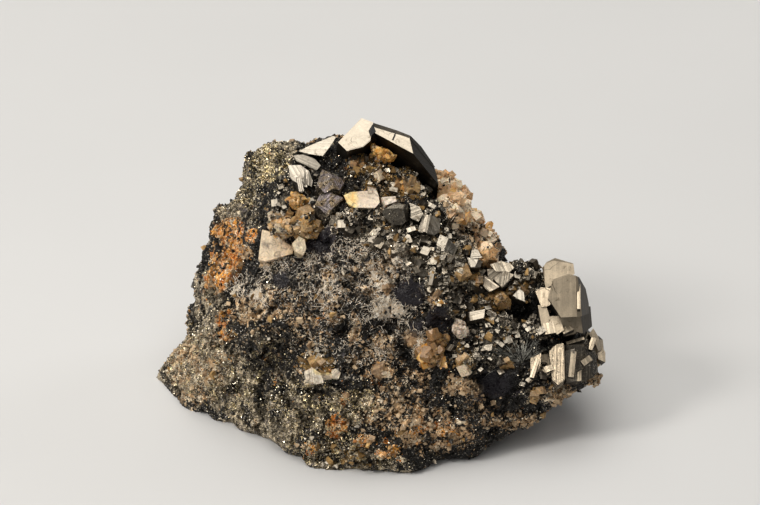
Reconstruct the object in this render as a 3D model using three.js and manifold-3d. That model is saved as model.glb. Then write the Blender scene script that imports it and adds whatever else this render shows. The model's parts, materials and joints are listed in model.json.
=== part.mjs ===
// A tennantite specimen: grey-black metallic crystals, with tan carbonates, on a broken lump of ore.
// Millimetres, +Z up. The lump stands on its flat broken base at Z = 0 and shows its crystals
// towards -Y. The show face leans back, so places on it are given in its own frame:
// across (to the right), rise (up the leaning face) and out (straight out of it).
import * as THREE from 'three';
import { ConvexHull } from 'three/addons/math/ConvexHull.js';
import { ImprovedNoise } from 'three/addons/math/ImprovedNoise.js';
import { mergeVertices } from 'three/addons/utils/BufferGeometryUtils.js';
import Module from 'manifold-3d';

const wasm = await Module();
wasm.setup();
const { Manifold, Mesh } = wasm;

// ---- driving sizes, mm and degrees ----
const LEAN = 30; // the show face leans back this far from upright
const GAP = 0.3; // clearance between a crystal and its socket in the matrix
const BLOCK = 120; // side of the block each crystal is cut from
const HEART = new THREE.Vector3(-1, 2, 19); // the point the broken surface is measured from
const SURFACE_STEPS = 12; // subdivisions of the matrix surface
const SURFACE_SPREAD = 1.45; // crowds surface points towards the two far ends
const LUMPS = [[10, 1.2], [4.6, 0.7]]; // wavelength and height of the gentle lumps on the matrix
const CHIPS = [{ cell: 9, tilt: 0.22, step: 0.5 }, { cell: 4.2, tilt: 0.22, step: 0.4 }]; // flat breaks
const DRUSE_SINK = 0.1; // how deep a druse crystal sits, as a share of its size

const SIN = Math.sin(THREE.MathUtils.degToRad(LEAN));
const COS = Math.cos(THREE.MathUtils.degToRad(LEAN));

// ---- places and directions on the show face ----
const at = ([across, rise, out]) =>
  new THREE.Vector3(across, rise * SIN - out * COS, rise * COS + out * SIN);

// The direction a flat face looks in: tilted up from the show face, then turned to the right.
function looking(tilt, turn) {
  const t = THREE.MathUtils.degToRad(tilt), q = THREE.MathUtils.degToRad(turn);
  return at([Math.sin(q) * Math.cos(t), Math.sin(t), Math.cos(q) * Math.cos(t)]);
}

// Repeatable random numbers from 0 to 1.
function randomFrom(seed) {
  let state = seed;
  return () => {
    state = (state + 0x6d2b79f5) | 0;
    let t = Math.imul(state ^ (state >>> 15), 1 | state);
    t = (t + Math.imul(t ^ (t >>> 7), 61 | t)) ^ t;
    return ((t ^ (t >>> 14)) >>> 0) / 4294967296;
  };
}

// ---- solids and meshes ----
function solidFrom(geometry) {
  const bare = new THREE.BufferGeometry().setAttribute('position', geometry.getAttribute('position'));
  if (geometry.index) bare.setIndex(geometry.index);
  const merged = mergeVertices(bare, 1e-4);
  return new Manifold(new Mesh({
    numProp: 3,
    vertProperties: new Float32Array(merged.attributes.position.array),
    triVerts: new Uint32Array(merged.index.array),
  }));
}

function geometryFrom(solid) {
  const { vertProperties, triVerts } = solid.getMesh();
  return new THREE.BufferGeometry()
    .setAttribute('position', new THREE.BufferAttribute(vertProperties, 3))
    .setIndex(new THREE.BufferAttribute(triVerts, 1));
}

const join = (solids) => solids.reduce((whole, next) => whole.add(next));

const largest = (solid) =>
  solid.decompose().reduce((best, next) => (next.volume() > best.volume() ? next : best));

// ---- crystals: a block cut back by flat faces ----
const facePlane = (place, tilt, turn) => ({ point: at(place), normal: looking(tilt, turn) });

// A crystal seen from the front: its outline at the level `out`, the faces that cut its front, and
// a flat root. Each corner is [across, rise, lean]; from that corner to the next the side leans
// inwards by `lean` degrees on its way back, or outwards where it is negative.
function body({ corners, out, faces, depth = 4, lean = 5 }) {
  const middle = corners.reduce((sum, [x, v]) => [sum[0] + x, sum[1] + v], [0, 0])
    .map((sum) => sum / corners.length);
  const sides = corners.map(([x, v, ownLean], i) => {
    const [nextX, nextV] = corners[(i + 1) % corners.length];
    const away = new THREE.Vector2(nextV - v, x - nextX).normalize();
    if (away.dot(new THREE.Vector2(x - middle[0], v - middle[1])) < 0) away.negate();
    const tilt = THREE.MathUtils.degToRad(ownLean ?? lean);
    const normal = at([away.x * Math.cos(tilt), away.y * Math.cos(tilt), -Math.sin(tilt)]);
    return { point: at([x, v, out]), normal };
  });
  const fronts = faces.map(([place, tilt, turn]) => facePlane(place, tilt, turn));
  const root = { point: at([...middle, out - depth]), normal: looking(0, 180) };
  return [...fronts, ...sides, root];
}

// A plate or blade: a body with one front face.
const plate = (centre, tilt, turn, corners, depth, lean) =>
  body({ corners, out: centre[2], faces: [[centre, tilt, turn]], depth, lean });

// An irregular flat-sided lump: faces touching an ellipsoid, in scattered directions.
function lump({ centre, size, faces = 12, seed = 1 }) {
  const random = randomFrom(seed), middle = at(centre);
  const planes = [];
  for (let i = 0; i < faces; i++) {
    const height = 1 - (2 * (i + 0.5)) / faces;
    const swing = i * 2.39996 + (random() - 0.5) * 0.9;
    const flat = Math.sqrt(1 - height * height);
    const d = [flat * Math.cos(swing), height, flat * Math.sin(swing)];
    const reach = Math.hypot(d[0] * size[0], d[1] * size[1], d[2] * size[2]) * (0.8 + 0.16 * random());
    const normal = at(d);
    planes.push({ point: middle.clone().addScaledVector(normal, reach), normal });
  }
  return planes;
}

const block = solidFrom(new THREE.BoxGeometry(BLOCK, BLOCK, BLOCK)).translate([0, 0, BLOCK / 3]);

// Cuts one convex crystal from the block; a clearance leaves it that much larger all round.
function cutCrystal(planes, clearance = 0) {
  return planes.reduce((solid, { point, normal }) =>
    solid.trimByPlane([-normal.x, -normal.y, -normal.z], -normal.dot(point) - clearance), block);
}

const grown = (bodies, clearance = 0) => join(bodies.map((planes) => cutCrystal(planes, clearance)));

// ---- the large crystals ----
const crystals = {
  // Two intergrown bodies: the left one shows one wide bright face, the right one a roof-like
  // bright face over a dark overhanging front.
  crown_crystal: [
    plate([-4.1, 44.5, 17.5], 35, -6, [[-3.8, 48, 6], [-2.1, 47.3, -10], [-2.2, 43.9, -12],
      [-3.3, 42.8, -12], [-6.1, 42, -10], [-7.5, 43.7, 6]], 9),
    body({ out: 15.5, depth: 12, lean: 6,
      corners: [[-2.6, 47.4], [2, 45.8], [4.2, 44.8], [6, 43.2], [8, 40.4], [8.5, 38.2],
        [8.6, 34.6, -10], [4, 35, -20], [-2.6, 41]],
      faces: [
        [[1.6, 44.4, 17], 40, 4], // roof
        [[1.2, 45.4, 16.1], 62, 24], // narrow bevel over it
        [[4.6, 41.9, 18.9], 30, 63], // right face
        [[4.6, 41.9, 18.9], -40, -47], // overhanging front
      ] }),
  ],
  white_plate: [plate([-10.5, 43.1, 12.5], 38, -4, [[-14.1, 42.3], [-12.2, 43.4], [-8.4, 45.1],
    [-7.7, 44.8], [-8.7, 43.3], [-10.4, 41.2, -20], [-12.1, 41.6, -20]], 4.5)],
  grey_plate: [plate([-12.5, 40.9, 13.3], 15, 10, [[-14.7, 41.7], [-12.9, 41.9], [-11.3, 41.2],
    [-10.3, 40.1], [-11, 39.3, -12], [-12.6, 40, -12], [-14.2, 40.7]], 4.5)],
  striated_plates: [
    plate([-13.6, 38.4, 14.6], 14, -14, [[-15.7, 40.2], [-13.6, 40.2], [-12.4, 39.2], [-12.6, 36.6],
      [-13.6, 36.8, -14], [-15.2, 38]], 4.5),
    plate([-12.4, 37.8, 14.9], 18, 28, [[-13, 39.8], [-12.2, 39.2], [-11.6, 37.6], [-11.8, 36.6, -10],
      [-13, 37]], 4.5),
    plate([-13.8, 37, 15.5], 10, -6, [[-14.2, 38.2], [-13.5, 38.2], [-13, 35.9, -10],
      [-13.8, 35.8, -10]], 4),
  ],
  tarnished_crystals: [
    lump({ centre: [-8.8, 36.6, 14.6], size: [2.3, 2.6, 3.2], faces: 13, seed: 3 }),
    lump({ centre: [-9.2, 33.2, 15.6], size: [1.9, 2.6, 3.2], faces: 12, seed: 8 }),
  ],
  pale_plate_left: [
    plate([-3.7, 34.6, 18], 27, 2, [[-6.6, 35.2], [-5.6, 35.7], [-2.6, 36], [-0.9, 35.2],
      [-0.8, 34], [-1.7, 33, -15], [-5, 33, -15], [-5.9, 33.7]], 4),
    plate([-2, 36, 17.2], 29, 6, [[-2.8, 36.9], [-1.5, 37], [-1, 35], [-2.6, 35]], 4),
  ],
  pale_plate_right: [plate([0.8, 34.3, 18.6], 28, 4, [[-0.3, 34.9], [1.8, 35.1], [2, 34.2, -15],
    [0.1, 33.4, -15]], 4)],
  dark_rhomb_crystal: [body({ out: 19.6, depth: 5, lean: 2,
    corners: [[-0.4, 32.6], [1.7, 33.9], [3.8, 33.6], [4.1, 31.7, -14], [3, 30.4, -14],
      [1.3, 30.2, -14], [0.1, 31.3]],
    faces: [[[1.9, 32, 20.2], -6, 6], [[1.8, 33.6, 19.7], 46, 4], [[3.7, 32.4, 19.4], 6, 50]] })],
  striated_prisms: [
    plate([5.1, 32.3, 19.4], 12, -10, [[3.9, 34], [5.7, 33.2], [6.2, 32.2], [5.4, 30.9, -12],
      [4.2, 31.5]], 4.5),
    plate([6.4, 30.7, 19.6], 22, -22, [[6, 32.2], [7.4, 32], [6.7, 29.1, -12], [5.5, 29.4]], 4.5),
    plate([8, 30.3, 19], 2, 32, [[7.2, 32], [9.1, 31.4], [8.9, 29.6, -12], [8, 28.7, -12],
      [6.6, 29]], 4.5),
  ],
  slope_crystal: [body({ out: 19.4, depth: 4.5, lean: 3,
    corners: [[8.9, 28.9], [10.2, 28.3], [11.6, 27, -8], [10.8, 25.2, -14], [9.6, 25.6, -14],
      [8.3, 27.2]],
    faces: [[[9.3, 27.4, 19.6], 26, -4], [[10, 27.2, 19.6], 4, 44]] })],
  step_crystal: [
    body({ out: 18.4, depth: 4, lean: 2,
      corners: [[13.4, 25.2], [15, 25], [15.7, 24.6], [15.5, 23.6, -12], [13.7, 23.4, -12]],
      faces: [[[14.2, 24.4, 18.8], 26, 0], [[15.2, 24.3, 18.5], 0, 46]] }),
    plate([14.4, 25.8, 18], 40, -10, [[14, 26.4], [15.1, 26.5], [15.6, 25.2], [13.8, 25]], 3.5),
  ],
  twinned_crystal: [
    plate([19.3, 23.7, 16.2], 48, 4, [[17, 24], [18.8, 24.7], [20.6, 24.1], [20.9, 23.5],
      [20.1, 22.9], [18, 23]], 4),
    plate([19.2, 21.8, 17.8], 22, 20, [[19.4, 23.1], [20.9, 22.5, -6], [18.9, 20.2, -10],
      [17.5, 21.6]], 4.5),
    plate([16.9, 20.8, 17.8], 24, -28, [[16.3, 22.4], [18.4, 20.5], [16.8, 19.6, -10],
      [16, 20.7, -6]], 4.5),
    plate([18, 21.5, 15.8], 6, 0, [[16.6, 23.3], [20, 23.4], [19.4, 20.6, -8], [17, 20.2, -8]], 4),
  ],
  peach_crystal: [lump({ centre: [16.7, 25.2, 12], size: [2.1, 2.3, 4.4], faces: 13, seed: 21 })],
  rhomb_crystal: [plate([14.9, 15.9, 20], 27, 0, [[13.7, 16.5], [16.3, 17], [16, 15.4, -16],
    [13.6, 14.8, -16]], 4)],
  wedge_plate: [plate([21.8, 19.1, 17.4], 27, 4, [[20.6, 19], [21.6, 20.1], [22.5, 19.6],
    [22.6, 17.9, -12], [21.4, 18.4, -12]], 4)],
  honey_crystal: [lump({ centre: [18.7, 18.4, 15.6], size: [1.3, 1.3, 3], faces: 12, seed: 5 })],
  // Six grey-faced crystals side by side; the tallest turns a black side to the right.
  right_cluster: [
    body({ out: 13.6, depth: 8, lean: 6,
      corners: [[25.5, 23.4], [26.3, 24.5], [27.7, 25.2], [30.6, 24.2], [30.8, 22], [28, 21],
        [26.2, 20]],
      faces: [[[28.2, 22.7, 13.8], 12, -5], [[27, 24.4, 13.5], 58, -30],
        [[29.5, 24.4, 13.4], 60, 10], [[25.9, 22.5, 13.6], 6, -52]] }),
    body({ out: 16.4, depth: 10, lean: 5,
      corners: [[27.2, 21.6], [29.7, 22.5], [31.5, 22], [32.9, 20.2], [33.5, 17.8], [33.5, 15.8],
        [28.2, 15.6, -8], [26.4, 18.3]],
      faces: [[[28.9, 19.3, 17.2], 4, 4], [[30.9, 19, 17.1], 4, 36], [[31.5, 19, 16.7], 6, 70],
        [[28.5, 22.1, 17], 56, -16]] }),
    body({ out: 13.6, depth: 7, lean: 5,
      corners: [[30.6, 17], [33.6, 17.4], [33.9, 13.9], [32.2, 13], [30.8, 13.4]],
      faces: [[[31.6, 15, 15.8], 4, 62], [[31, 15, 15.6], -4, 14]] }),
    plate([26.2, 19, 16.2], 8, -16, [[24.4, 19.8], [25.3, 20.4], [27.2, 20.2], [27.9, 18.8],
      [26.4, 17.3, -10], [25.4, 17.1, -6]], 6),
    plate([25.8, 15.6, 16], 6, -12, [[24.8, 17.5], [26.1, 17.5], [26.7, 15.4], [26.1, 13.6, -12],
      [25.4, 14, -6]], 5),
    plate([27.4, 14.2, 16.4], 24, -4, [[26, 15.7], [28.3, 15.8], [28.9, 13.5], [27.7, 12.7, -12],
      [26.4, 13.3, -8]], 5),
    plate([29.7, 14.2, 15.9], -6, 14, [[28.2, 15.8], [31, 16], [31, 13, -10], [29.2, 12.5, -10]],
      5),
  ],
  lower_blades: [
    plate([27.9, 8, 17.6], 10, -8, [[26.6, 10.1], [27.7, 11.1], [28.9, 11.3], [29, 5.4, -8],
      [27.9, 4.5, -12], [27, 5.4, -3]], 5, 2),
    plate([24.4, 7.6, 17.2], 14, -14, [[23.6, 9.1], [25.3, 9.8], [25.1, 7.7], [24.4, 6.2, -10],
      [23.5, 5.1, -3]], 5, 2),
    plate([26.3, 7, 17.6], 28, 6, [[25.4, 7], [26.3, 7.8], [27.3, 7.1, -10], [26.3, 6.1, -10]], 4),
    plate([26.4, 7.6, 15.4], 0, 0, [[24, 9.2], [28.4, 10], [28.2, 5.6], [24.4, 6]], 4),
  ],
  corner_crystal: [
    body({ out: 14, depth: 8, lean: 4,
      corners: [[29.2, 10.9], [32.3, 12.4], [33.6, 11.2], [34.5, 9.4], [34.7, 6.6], [33.4, 5.6],
        [31.1, 4.6, -8], [29.4, 4.9, -8]],
      faces: [[[31.3, 8.1, 15], -4, 10], [[30.8, 11.3, 14.9], 52, 6], [[33.2, 8.4, 14.5], 10, 54]],
    }),
    plate([30, 7.8, 15.9], 4, -10, [[29.2, 10.1], [30.7, 10.5], [31, 5.2, -8], [29.4, 5, -8]], 4),
    plate([32.7, 8.4, 15.3], 30, 8, [[32, 7.9], [33, 9.4], [33.7, 8.9], [33.2, 7.7]], 3),
  ],
  edge_crystals: [
    plate([34.2, 12.2, 9.8], 20, 20, [[33.3, 12.7], [34.1, 13.7], [35, 12], [34.5, 10.6, -10]], 5),
    plate([35.3, 9.7, 8.8], 22, 24, [[34.4, 10.9], [35.2, 11.4], [36.1, 9.7], [36, 8, -10],
      [35, 8.4]], 5),
    lump({ centre: [34.2, 10.6, 7], size: [1.3, 2, 2.6], faces: 10, seed: 4 }),
  ],
  ridge_carbonates: [
    lump({ centre: [10, 36.8, 7], size: [1.6, 1.8, 3.6], faces: 12, seed: 31 }),
    lump({ centre: [11.3, 34.4, 7], size: [1.8, 2.1, 4.2], faces: 12, seed: 32 }),
    lump({ centre: [11.1, 32.2, 9.4], size: [1.7, 1.7, 4], faces: 11, seed: 33 }),
  ],
  crown_carbonates: [
    lump({ centre: [-1.2, 42.3, 15.6], size: [1.2, 1, 2], faces: 11, seed: 81 }),
    lump({ centre: [0.6, 41.6, 15.6], size: [1.1, 0.9, 2], faces: 11, seed: 82 }),
  ],
  carbonate_plate: [plate([-18.3, 26.8, 14.8], 22, -14, [[-20, 29.9], [-18.2, 29.4],
    [-14.9, 26.8], [-14.9, 25.6, -8], [-19.3, 24.4, -8], [-20.4, 24.8]], 4.5)],
  honey_carbonates: [
    lump({ centre: [-16.4, 29.8, 14.4], size: [2.1, 1.6, 3.2], faces: 12, seed: 41 }),
    lump({ centre: [-12.6, 30.2, 15.6], size: [1.2, 2, 2.8], faces: 11, seed: 42 }),
    lump({ centre: [-14.8, 30.2, 13.6], size: [1.7, 1.3, 2.6], faces: 10, seed: 43 }),
  ],
  pale_block_crystal: [plate([-13.7, 26.9, 18], 20, -8, [[-14.9, 27.5], [-13.8, 28.7],
    [-12.8, 28.1], [-12.6, 26.6], [-13.1, 25.4, -12], [-14.3, 26, -8]], 4)],
  orange_crystal: [lump({ centre: [-14, 34.5, 15], size: [1.2, 1.1, 2.4], faces: 11, seed: 51 })],
  foot_crystals: [
    plate([-11.4, 6.2, 21.2], 24, -10, [[-12.9, 6.9], [-11.6, 7.6], [-10.2, 6.6], [-9.8, 5.2],
      [-11.3, 4.9, -12], [-12.7, 5.6]], 3.5),
    plate([-9.4, 6, 19.8], 6, 4, [[-11.4, 6.6], [-7.6, 6.8], [-7.7, 5.6], [-11.3, 5.4]], 3),
    plate([-7.8, 6.5, 20.8], 20, 14, [[-8.6, 7], [-7.8, 7.4], [-7, 6.6], [-7.4, 5.7, -10],
      [-8.3, 5.8]], 3.5),
  ],
  amber_crystals: [
    lump({ centre: [8.4, 11.9, 18.2], size: [1.3, 1.5, 3], faces: 12, seed: 61 }),
    lump({ centre: [7.7, 9.4, 18.8], size: [1.6, 2, 3], faces: 12, seed: 62 }),
  ],
  beige_quartz: [lump({ centre: [12.1, 13.7, 18], size: [1.4, 1.7, 3], faces: 12, seed: 71 })],
};

// ---- the broken ore matrix ----
// Convex masses of ore, each by its corners: `seen` on the show face, `behind` as plain x, y, z.
// The surface is the outermost of them all round HEART.
const masses = {
  core: {
    seen: [
      [0, -10.5, 17.4], [-12, -9.9, 16], [-6.5, -10.3, 17], [7.5, -8.4, 14], [13.8, -7.8, 13],
      [-18.8, -6, 9], [-23.8, -3.3, 4], [-16, 40.6, 10.5], [-18.6, 30, 13], [-20.2, 24.4, 13.5],
      [-23, 17.4, 12], [-26.4, 11.7, 8.4], [-20.4, 42.6, 0], [-22.6, 39.6, -3], [-26.2, 35.6, -6],
      [-30, 26.4, -9], [-32, 21.7, -10], [-32.6, 17.2, -11], [-34.4, 12.1, -11], [-6.4, 42, 13],
      [2.5, 41, 12], [-0.7, 19, 20.4], [-8.8, 2.3, 20.4], [2.5, -0.9, 20.4], [-13.6, 19, 18.4],
      [-13.8, 42, 6.5], [-9, 41.6, 11], [-4, 45.4, 4], [2, 44.4, 3], [6, 41.4, 3], [7.6, 38, 3],
    ],
    behind: [[-31, 20, -2.5], [-10, 26, -2.5], [12, 23, -2.5], [22, 12, -2], [-16, 8, -6], [4, 6, -6],
      [-18, 25, 30], [-28, 24, 14], [0, 24, 34], [10, 21, 30], [22, 17, 16]],
  },
  // the ledge the druse grows on, under the crown and down the slope
  ledge: {
    seen: [
      [-8, 40.6, 13.8], [4.6, 40.4, 16.4], [7.4, 36.6, 16], [-3, 42, 14.6], [-6.4, 34, 16.6],
      [0.6, 33.6, 17.2], [6, 31.6, 17.6], [9.4, 27, 18], [14.4, 24, 16.8], [1.8, 30.6, 18.8], [2, 26, 19.6],
      [15, 15.6, 18.4], [8, 18, 20], [-11, 30, 16.4], [11, 30, 12.8], [17, 25, 13], [8.4, 9, 19.4],
      [-3, 8, 12], [5, 30, 2], [-6, 36, 4], [16, 10, 4],
    ],
    behind: [],
  },
  rightLobe: {
    seen: [
      [21, 21.8, 14.4], [24.6, 22.8, 10], [26.3, 21.6, 9], [30.6, 18.2, 10], [32.6, 14.1, 9.6],
      [34.4, 9.8, 6.6], [34.8, 6.9, 6], [34, 5.1, 7], [30.4, 2.5, 10], [25, -1.4, 11.5],
      [18.8, -5.1, 12.5], [13.9, -7.3, 13.6], [10, 20, 17], [24.5, 6, 15.8], [18.6, 2.2, 17.6],
      [18.4, 19.4, 16.4], [27.4, 13, 14.6], [28.4, 6.4, 14.8], [7.3, 10.3, 19.4], [0, -10.3, 17],
      [7.5, -8.6, 14], [-3, 3, 20.4], [19, 23.4, 5], [15, 15, 18.6],
    ],
    behind: [[33, 8, 18], [31, 12, 13], [24, 15, 3], [14, 18, 0]],
  },
  toe: {
    seen: [
      [-38.1, 3.6, -8.8], [-37.2, 8.2, -10], [-34.4, -1.4, -2], [-37.4, 0.8, -6], [-29.6, -1.8, -0.5],
      [-25.3, 8.3, 7], [-33.4, 10.5, -8], [-24, 12, -12], [-24, 4, -14], [-18.8, -6, 9],
      [-23.8, -3.3, 4.4], [-19, 8, 13.4], [-26, 14, 7],
    ],
    behind: [],
  },
  knob: {
    seen: [
      [-17.4, 46.8, 1], [-20, 45.3, -1], [-21.8, 42.6, -2], [-24, 39.4, -2], [-20.6, 36.2, 7.4],
      [-16.6, 39, 8.4], [-14.8, 44, 5], [-14.2, 45.4, 1], [-17, 36, -6],
    ],
    behind: [],
  },
  rightShoulder: {
    seen: [
      [8.6, 37.4, 7.4], [10, 37, 5], [10.4, 35.8, 4], [11, 34, 4], [11.4, 32, 4],
      [11.8, 30.6, 5], [11.6, 29.6, 9.4], [9.6, 31.6, 11.4], [14.2, 27.6, 5], [16.8, 24.6, 6],
      [16, 24, 11.4], [11, 28.3, 12.8], [4, 34, 2], [6, 26, 0],
    ],
    behind: [],
  },
};

// Hollows in the show face: where, how wide and how deep.
const hollows = [
  { place: [23, 16.6, 15.5], width: 2.6, depth: 4 }, // the black hole beside the right cluster
  { place: [-10.6, 28, 17.5], width: 2.4, depth: 2 }, // smooth black hollow under the violet pair
  { place: [2, 39.5, 14], width: 4.4, depth: 1.8 }, // under the crown's overhang
  { place: [12, 26, 15], width: 5, depth: 1.2 }, // the slope of small crystals
];

const hulls = Object.values(masses).map(({ seen, behind }) => new ConvexHull().setFromPoints(
  [...seen.map(at), ...behind.map((corner) => new THREE.Vector3(...corner))]));

// How far from HEART the far side of one convex mass lies; 0 where it is missed.
function farSide(hull, direction) {
  let near = 0, far = Infinity;
  for (const face of hull.faces) {
    const distance = face.constant - face.normal.dot(HEART);
    const slope = face.normal.dot(direction);
    if (Math.abs(slope) < 1e-9) {
      if (distance < 0) return 0;
    } else if (slope > 0) far = Math.min(far, distance / slope);
    else near = Math.max(near, distance / slope);
  }
  return near <= far ? far : 0;
}

const noise = new ImprovedNoise();

// Gentle lumps over the whole surface.
const lumpsAt = (p) => LUMPS.reduce((sum, [wave, height], i) =>
  sum + height * noise.noise(p.x / wave + 7 * i, p.y / wave + 3, p.z / wave - 5 * i), 0);

// Seven repeatable random numbers, from -1 to 1, for one cell of space.
function cellNumbers(i, j, k) {
  const random = randomFrom((i * 73856093) ^ (j * 19349663) ^ (k * 83492791));
  return [0, 0, 0, 0, 0, 0, 0].map(() => 2 * random() - 1);
}

// Flat chips where the ore broke: each patch of surface is level, tilted its own way and stepped
// in or out from its neighbours.
function chipsAt(p, { cell, tilt, step }) {
  const home = [p.x, p.y, p.z].map((value) => Math.floor(value / cell));
  let nearest = Infinity, height = 0;
  for (let n = 0; n < 27; n++) {
    const [i, j, k] = [home[0] + (n % 3) - 1, home[1] + (Math.floor(n / 3) % 3) - 1,
      home[2] + Math.floor(n / 9) - 1];
    const [x, y, z, a, b, c, d] = cellNumbers(i, j, k);
    const away = [p.x - (i + 0.5 + 0.4 * x) * cell, p.y - (j + 0.5 + 0.4 * y) * cell,
      p.z - (k + 0.5 + 0.4 * z) * cell];
    const distance = Math.hypot(...away);
    if (distance < nearest) {
      nearest = distance;
      height = step * d + tilt * (a * away[0] + b * away[1] + c * away[2]);
    }
  }
  return height;
}

function reachOf(direction) {
  const smooth = Math.max(...hulls.map((hull) => farSide(hull, direction)));
  const p = HEART.clone().addScaledVector(direction, smooth);
  const sunk = hollows.reduce((sum, { place, width, depth }) =>
    sum + depth * Math.exp(-p.distanceToSquared(at(place)) / (width * width)), 0);
  return smooth + lumpsAt(p) + CHIPS.reduce((sum, chips) => sum + chipsAt(p, chips), 0) - sunk;
}

function brokenLump() {
  const ball = mergeVertices(new THREE.BufferGeometry().setAttribute('position',
    new THREE.IcosahedronGeometry(1, SURFACE_STEPS).getAttribute('position')), 1e-4);
  const place = ball.getAttribute('position');
  const direction = new THREE.Vector3();
  for (let i = 0; i < place.count; i++) {
    direction.fromBufferAttribute(place, i);
    direction.x *= SURFACE_SPREAD;
    direction.normalize();
    const p = HEART.clone().addScaledVector(direction, reachOf(direction));
    place.setXYZ(i, p.x, p.y, p.z);
  }
  return solidFrom(ball);
}

// ---- the druse: small crystals grown from the matrix ----
// The outermost matrix surface in front of a place on the show face.
function surfaceOut(across, rise) {
  for (let out = 30; out > -20; out -= 0.2) {
    const p = at([across, rise, out]).sub(HEART);
    const far = p.length();
    if (far < reachOf(p.divideScalar(far))) return out;
  }
  return -20;
}

// Blocky crystal with four corners cut off, turned at random.
function druseCrystal(place, size, random) {
  const turn = new THREE.Quaternion().setFromEuler(new THREE.Euler(
    ...[0, 0, 0].map(() => random() * Math.PI * 2)));
  const middle = at(place);
  const face = (x, y, z, reach) => {
    const normal = new THREE.Vector3(x, y, z).normalize().applyQuaternion(turn);
    return { point: middle.clone().addScaledVector(normal, reach), normal };
  };
  const [a, b, c] = [0, 0, 0].map(() => size * (0.38 + 0.2 * random()));
  return [
    face(1, 0, 0, a), face(-1, 0, 0, a), face(0, 1, 0, b), face(0, -1, 0, b),
    face(0, 0, 1, c), face(0, 0, -1, c),
    face(1, 1, 1, size * 0.52), face(1, -1, -1, size * 0.56), face(-1, 1, -1, size * 0.6),
    face(-1, -1, 1, size * 0.64),
  ];
}

// Patches of druse: [left, right, low, high] on the show face, how many, and how large.
const drusePatches = [
  { box: [-6.6, 7, 36.4, 41], count: 16, size: [1.8, 2.9], seed: 101 }, // under the crown
  { box: [-16, -7, 26, 41], count: 13, size: [1.8, 2.9], seed: 102 }, // left of it
  { box: [-6, 14, 25, 33], count: 24, size: [2.1, 4], seed: 103 }, // slope
  { box: [5, 22, 16.5, 25], count: 22, size: [2.1, 3.8], seed: 104 }, // lower slope
  { box: [12, 27, 4, 16.5], count: 19, size: [1.9, 3.4], seed: 105 }, // right end
  { box: [21, 27, 19, 24.5], count: 7, size: [2.2, 3.4], seed: 106 }, // behind the right cluster
];

function druse(sockets) {
  const kept = [];
  for (const { box: [left, right, low, high], count, size, seed } of drusePatches) {
    const random = randomFrom(seed);
    for (let i = 0; i < count; i++) {
      const across = left + (right - left) * random(), rise = low + (high - low) * random();
      const wide = size[0] + (size[1] - size[0]) * random() ** 2;
      const out = surfaceOut(across, rise) - wide * DRUSE_SINK;
      const crystal = cutCrystal(druseCrystal([across, rise, out], wide, random));
      if (crystal.intersect(sockets).volume() < 0.15 * crystal.volume()) kept.push(crystal);
    }
  }
  return kept;
}

// Crystals earlier in the list keep their shape; later ones stop at a clearance from them.
function growAll() {
  const solids = {};
  let sockets = null;
  for (const [name, bodies] of Object.entries(crystals)) {
    const whole = grown(bodies), socket = grown(bodies, GAP);
    solids[name] = sockets ? largest(whole.subtract(sockets)) : whole;
    sockets = sockets ? sockets.add(socket) : socket;
  }
  return { solids, sockets };
}

function matrix(sockets) {
  const whole = join([brokenLump(), ...druse(sockets)]);
  return largest(whole.subtract(sockets).trimByPlane([0, 0, 1], 0));
}

// ---- colours of the minerals ----
const minerals = {
  ore: { color: 0x4a4238, roughness: 0.75, metalness: 0.1 },
  tennantite: { color: 0x8d8678, roughness: 0.25, metalness: 0.9 },
  tarnish: { color: 0x4a4150, roughness: 0.35, metalness: 0.8 },
  carbonate: { color: 0xc9a27e, roughness: 0.5, metalness: 0 },
  honey: { color: 0xb58a45, roughness: 0.35, metalness: 0 },
  quartz: { color: 0xd6c6a8, roughness: 0.3, metalness: 0 },
};
const mineralOf = {
  tarnished_crystals: 'tarnish', ridge_carbonates: 'carbonate', carbonate_plate: 'carbonate',
  peach_crystal: 'carbonate', honey_carbonates: 'honey', crown_carbonates: 'honey', honey_crystal: 'honey',
  orange_crystal: 'honey', amber_crystals: 'honey', pale_block_crystal: 'quartz',
  beige_quartz: 'quartz', foot_crystals: 'quartz', pale_plate_left: 'quartz',
  pale_plate_right: 'quartz',
};

// ---- the specimen ----
const specimen = new THREE.Group();
specimen.name = 'tennantite_specimen';

function addPiece(name, solid, mineral) {
  const mesh = new THREE.Mesh(geometryFrom(solid), new THREE.MeshStandardMaterial(minerals[mineral]));
  mesh.name = name;
  specimen.add(mesh);
}

const { solids, sockets } = growAll();
for (const [name, solid] of Object.entries(solids)) {
  addPiece(name, solid, mineralOf[name] ?? 'tennantite');
}
addPiece('matrix', matrix(sockets), 'ore');

export default specimen;
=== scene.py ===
"""Looks for the tennantite specimen: crystal faces, ore, druse, grains and threads around the CAD frame.

Places on the show face are millimetres in its own leaning frame: across (to the right), rise (up the
face) and out (straight out of it). Everything is turned to metres in the row frame when it is built.
"""

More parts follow.
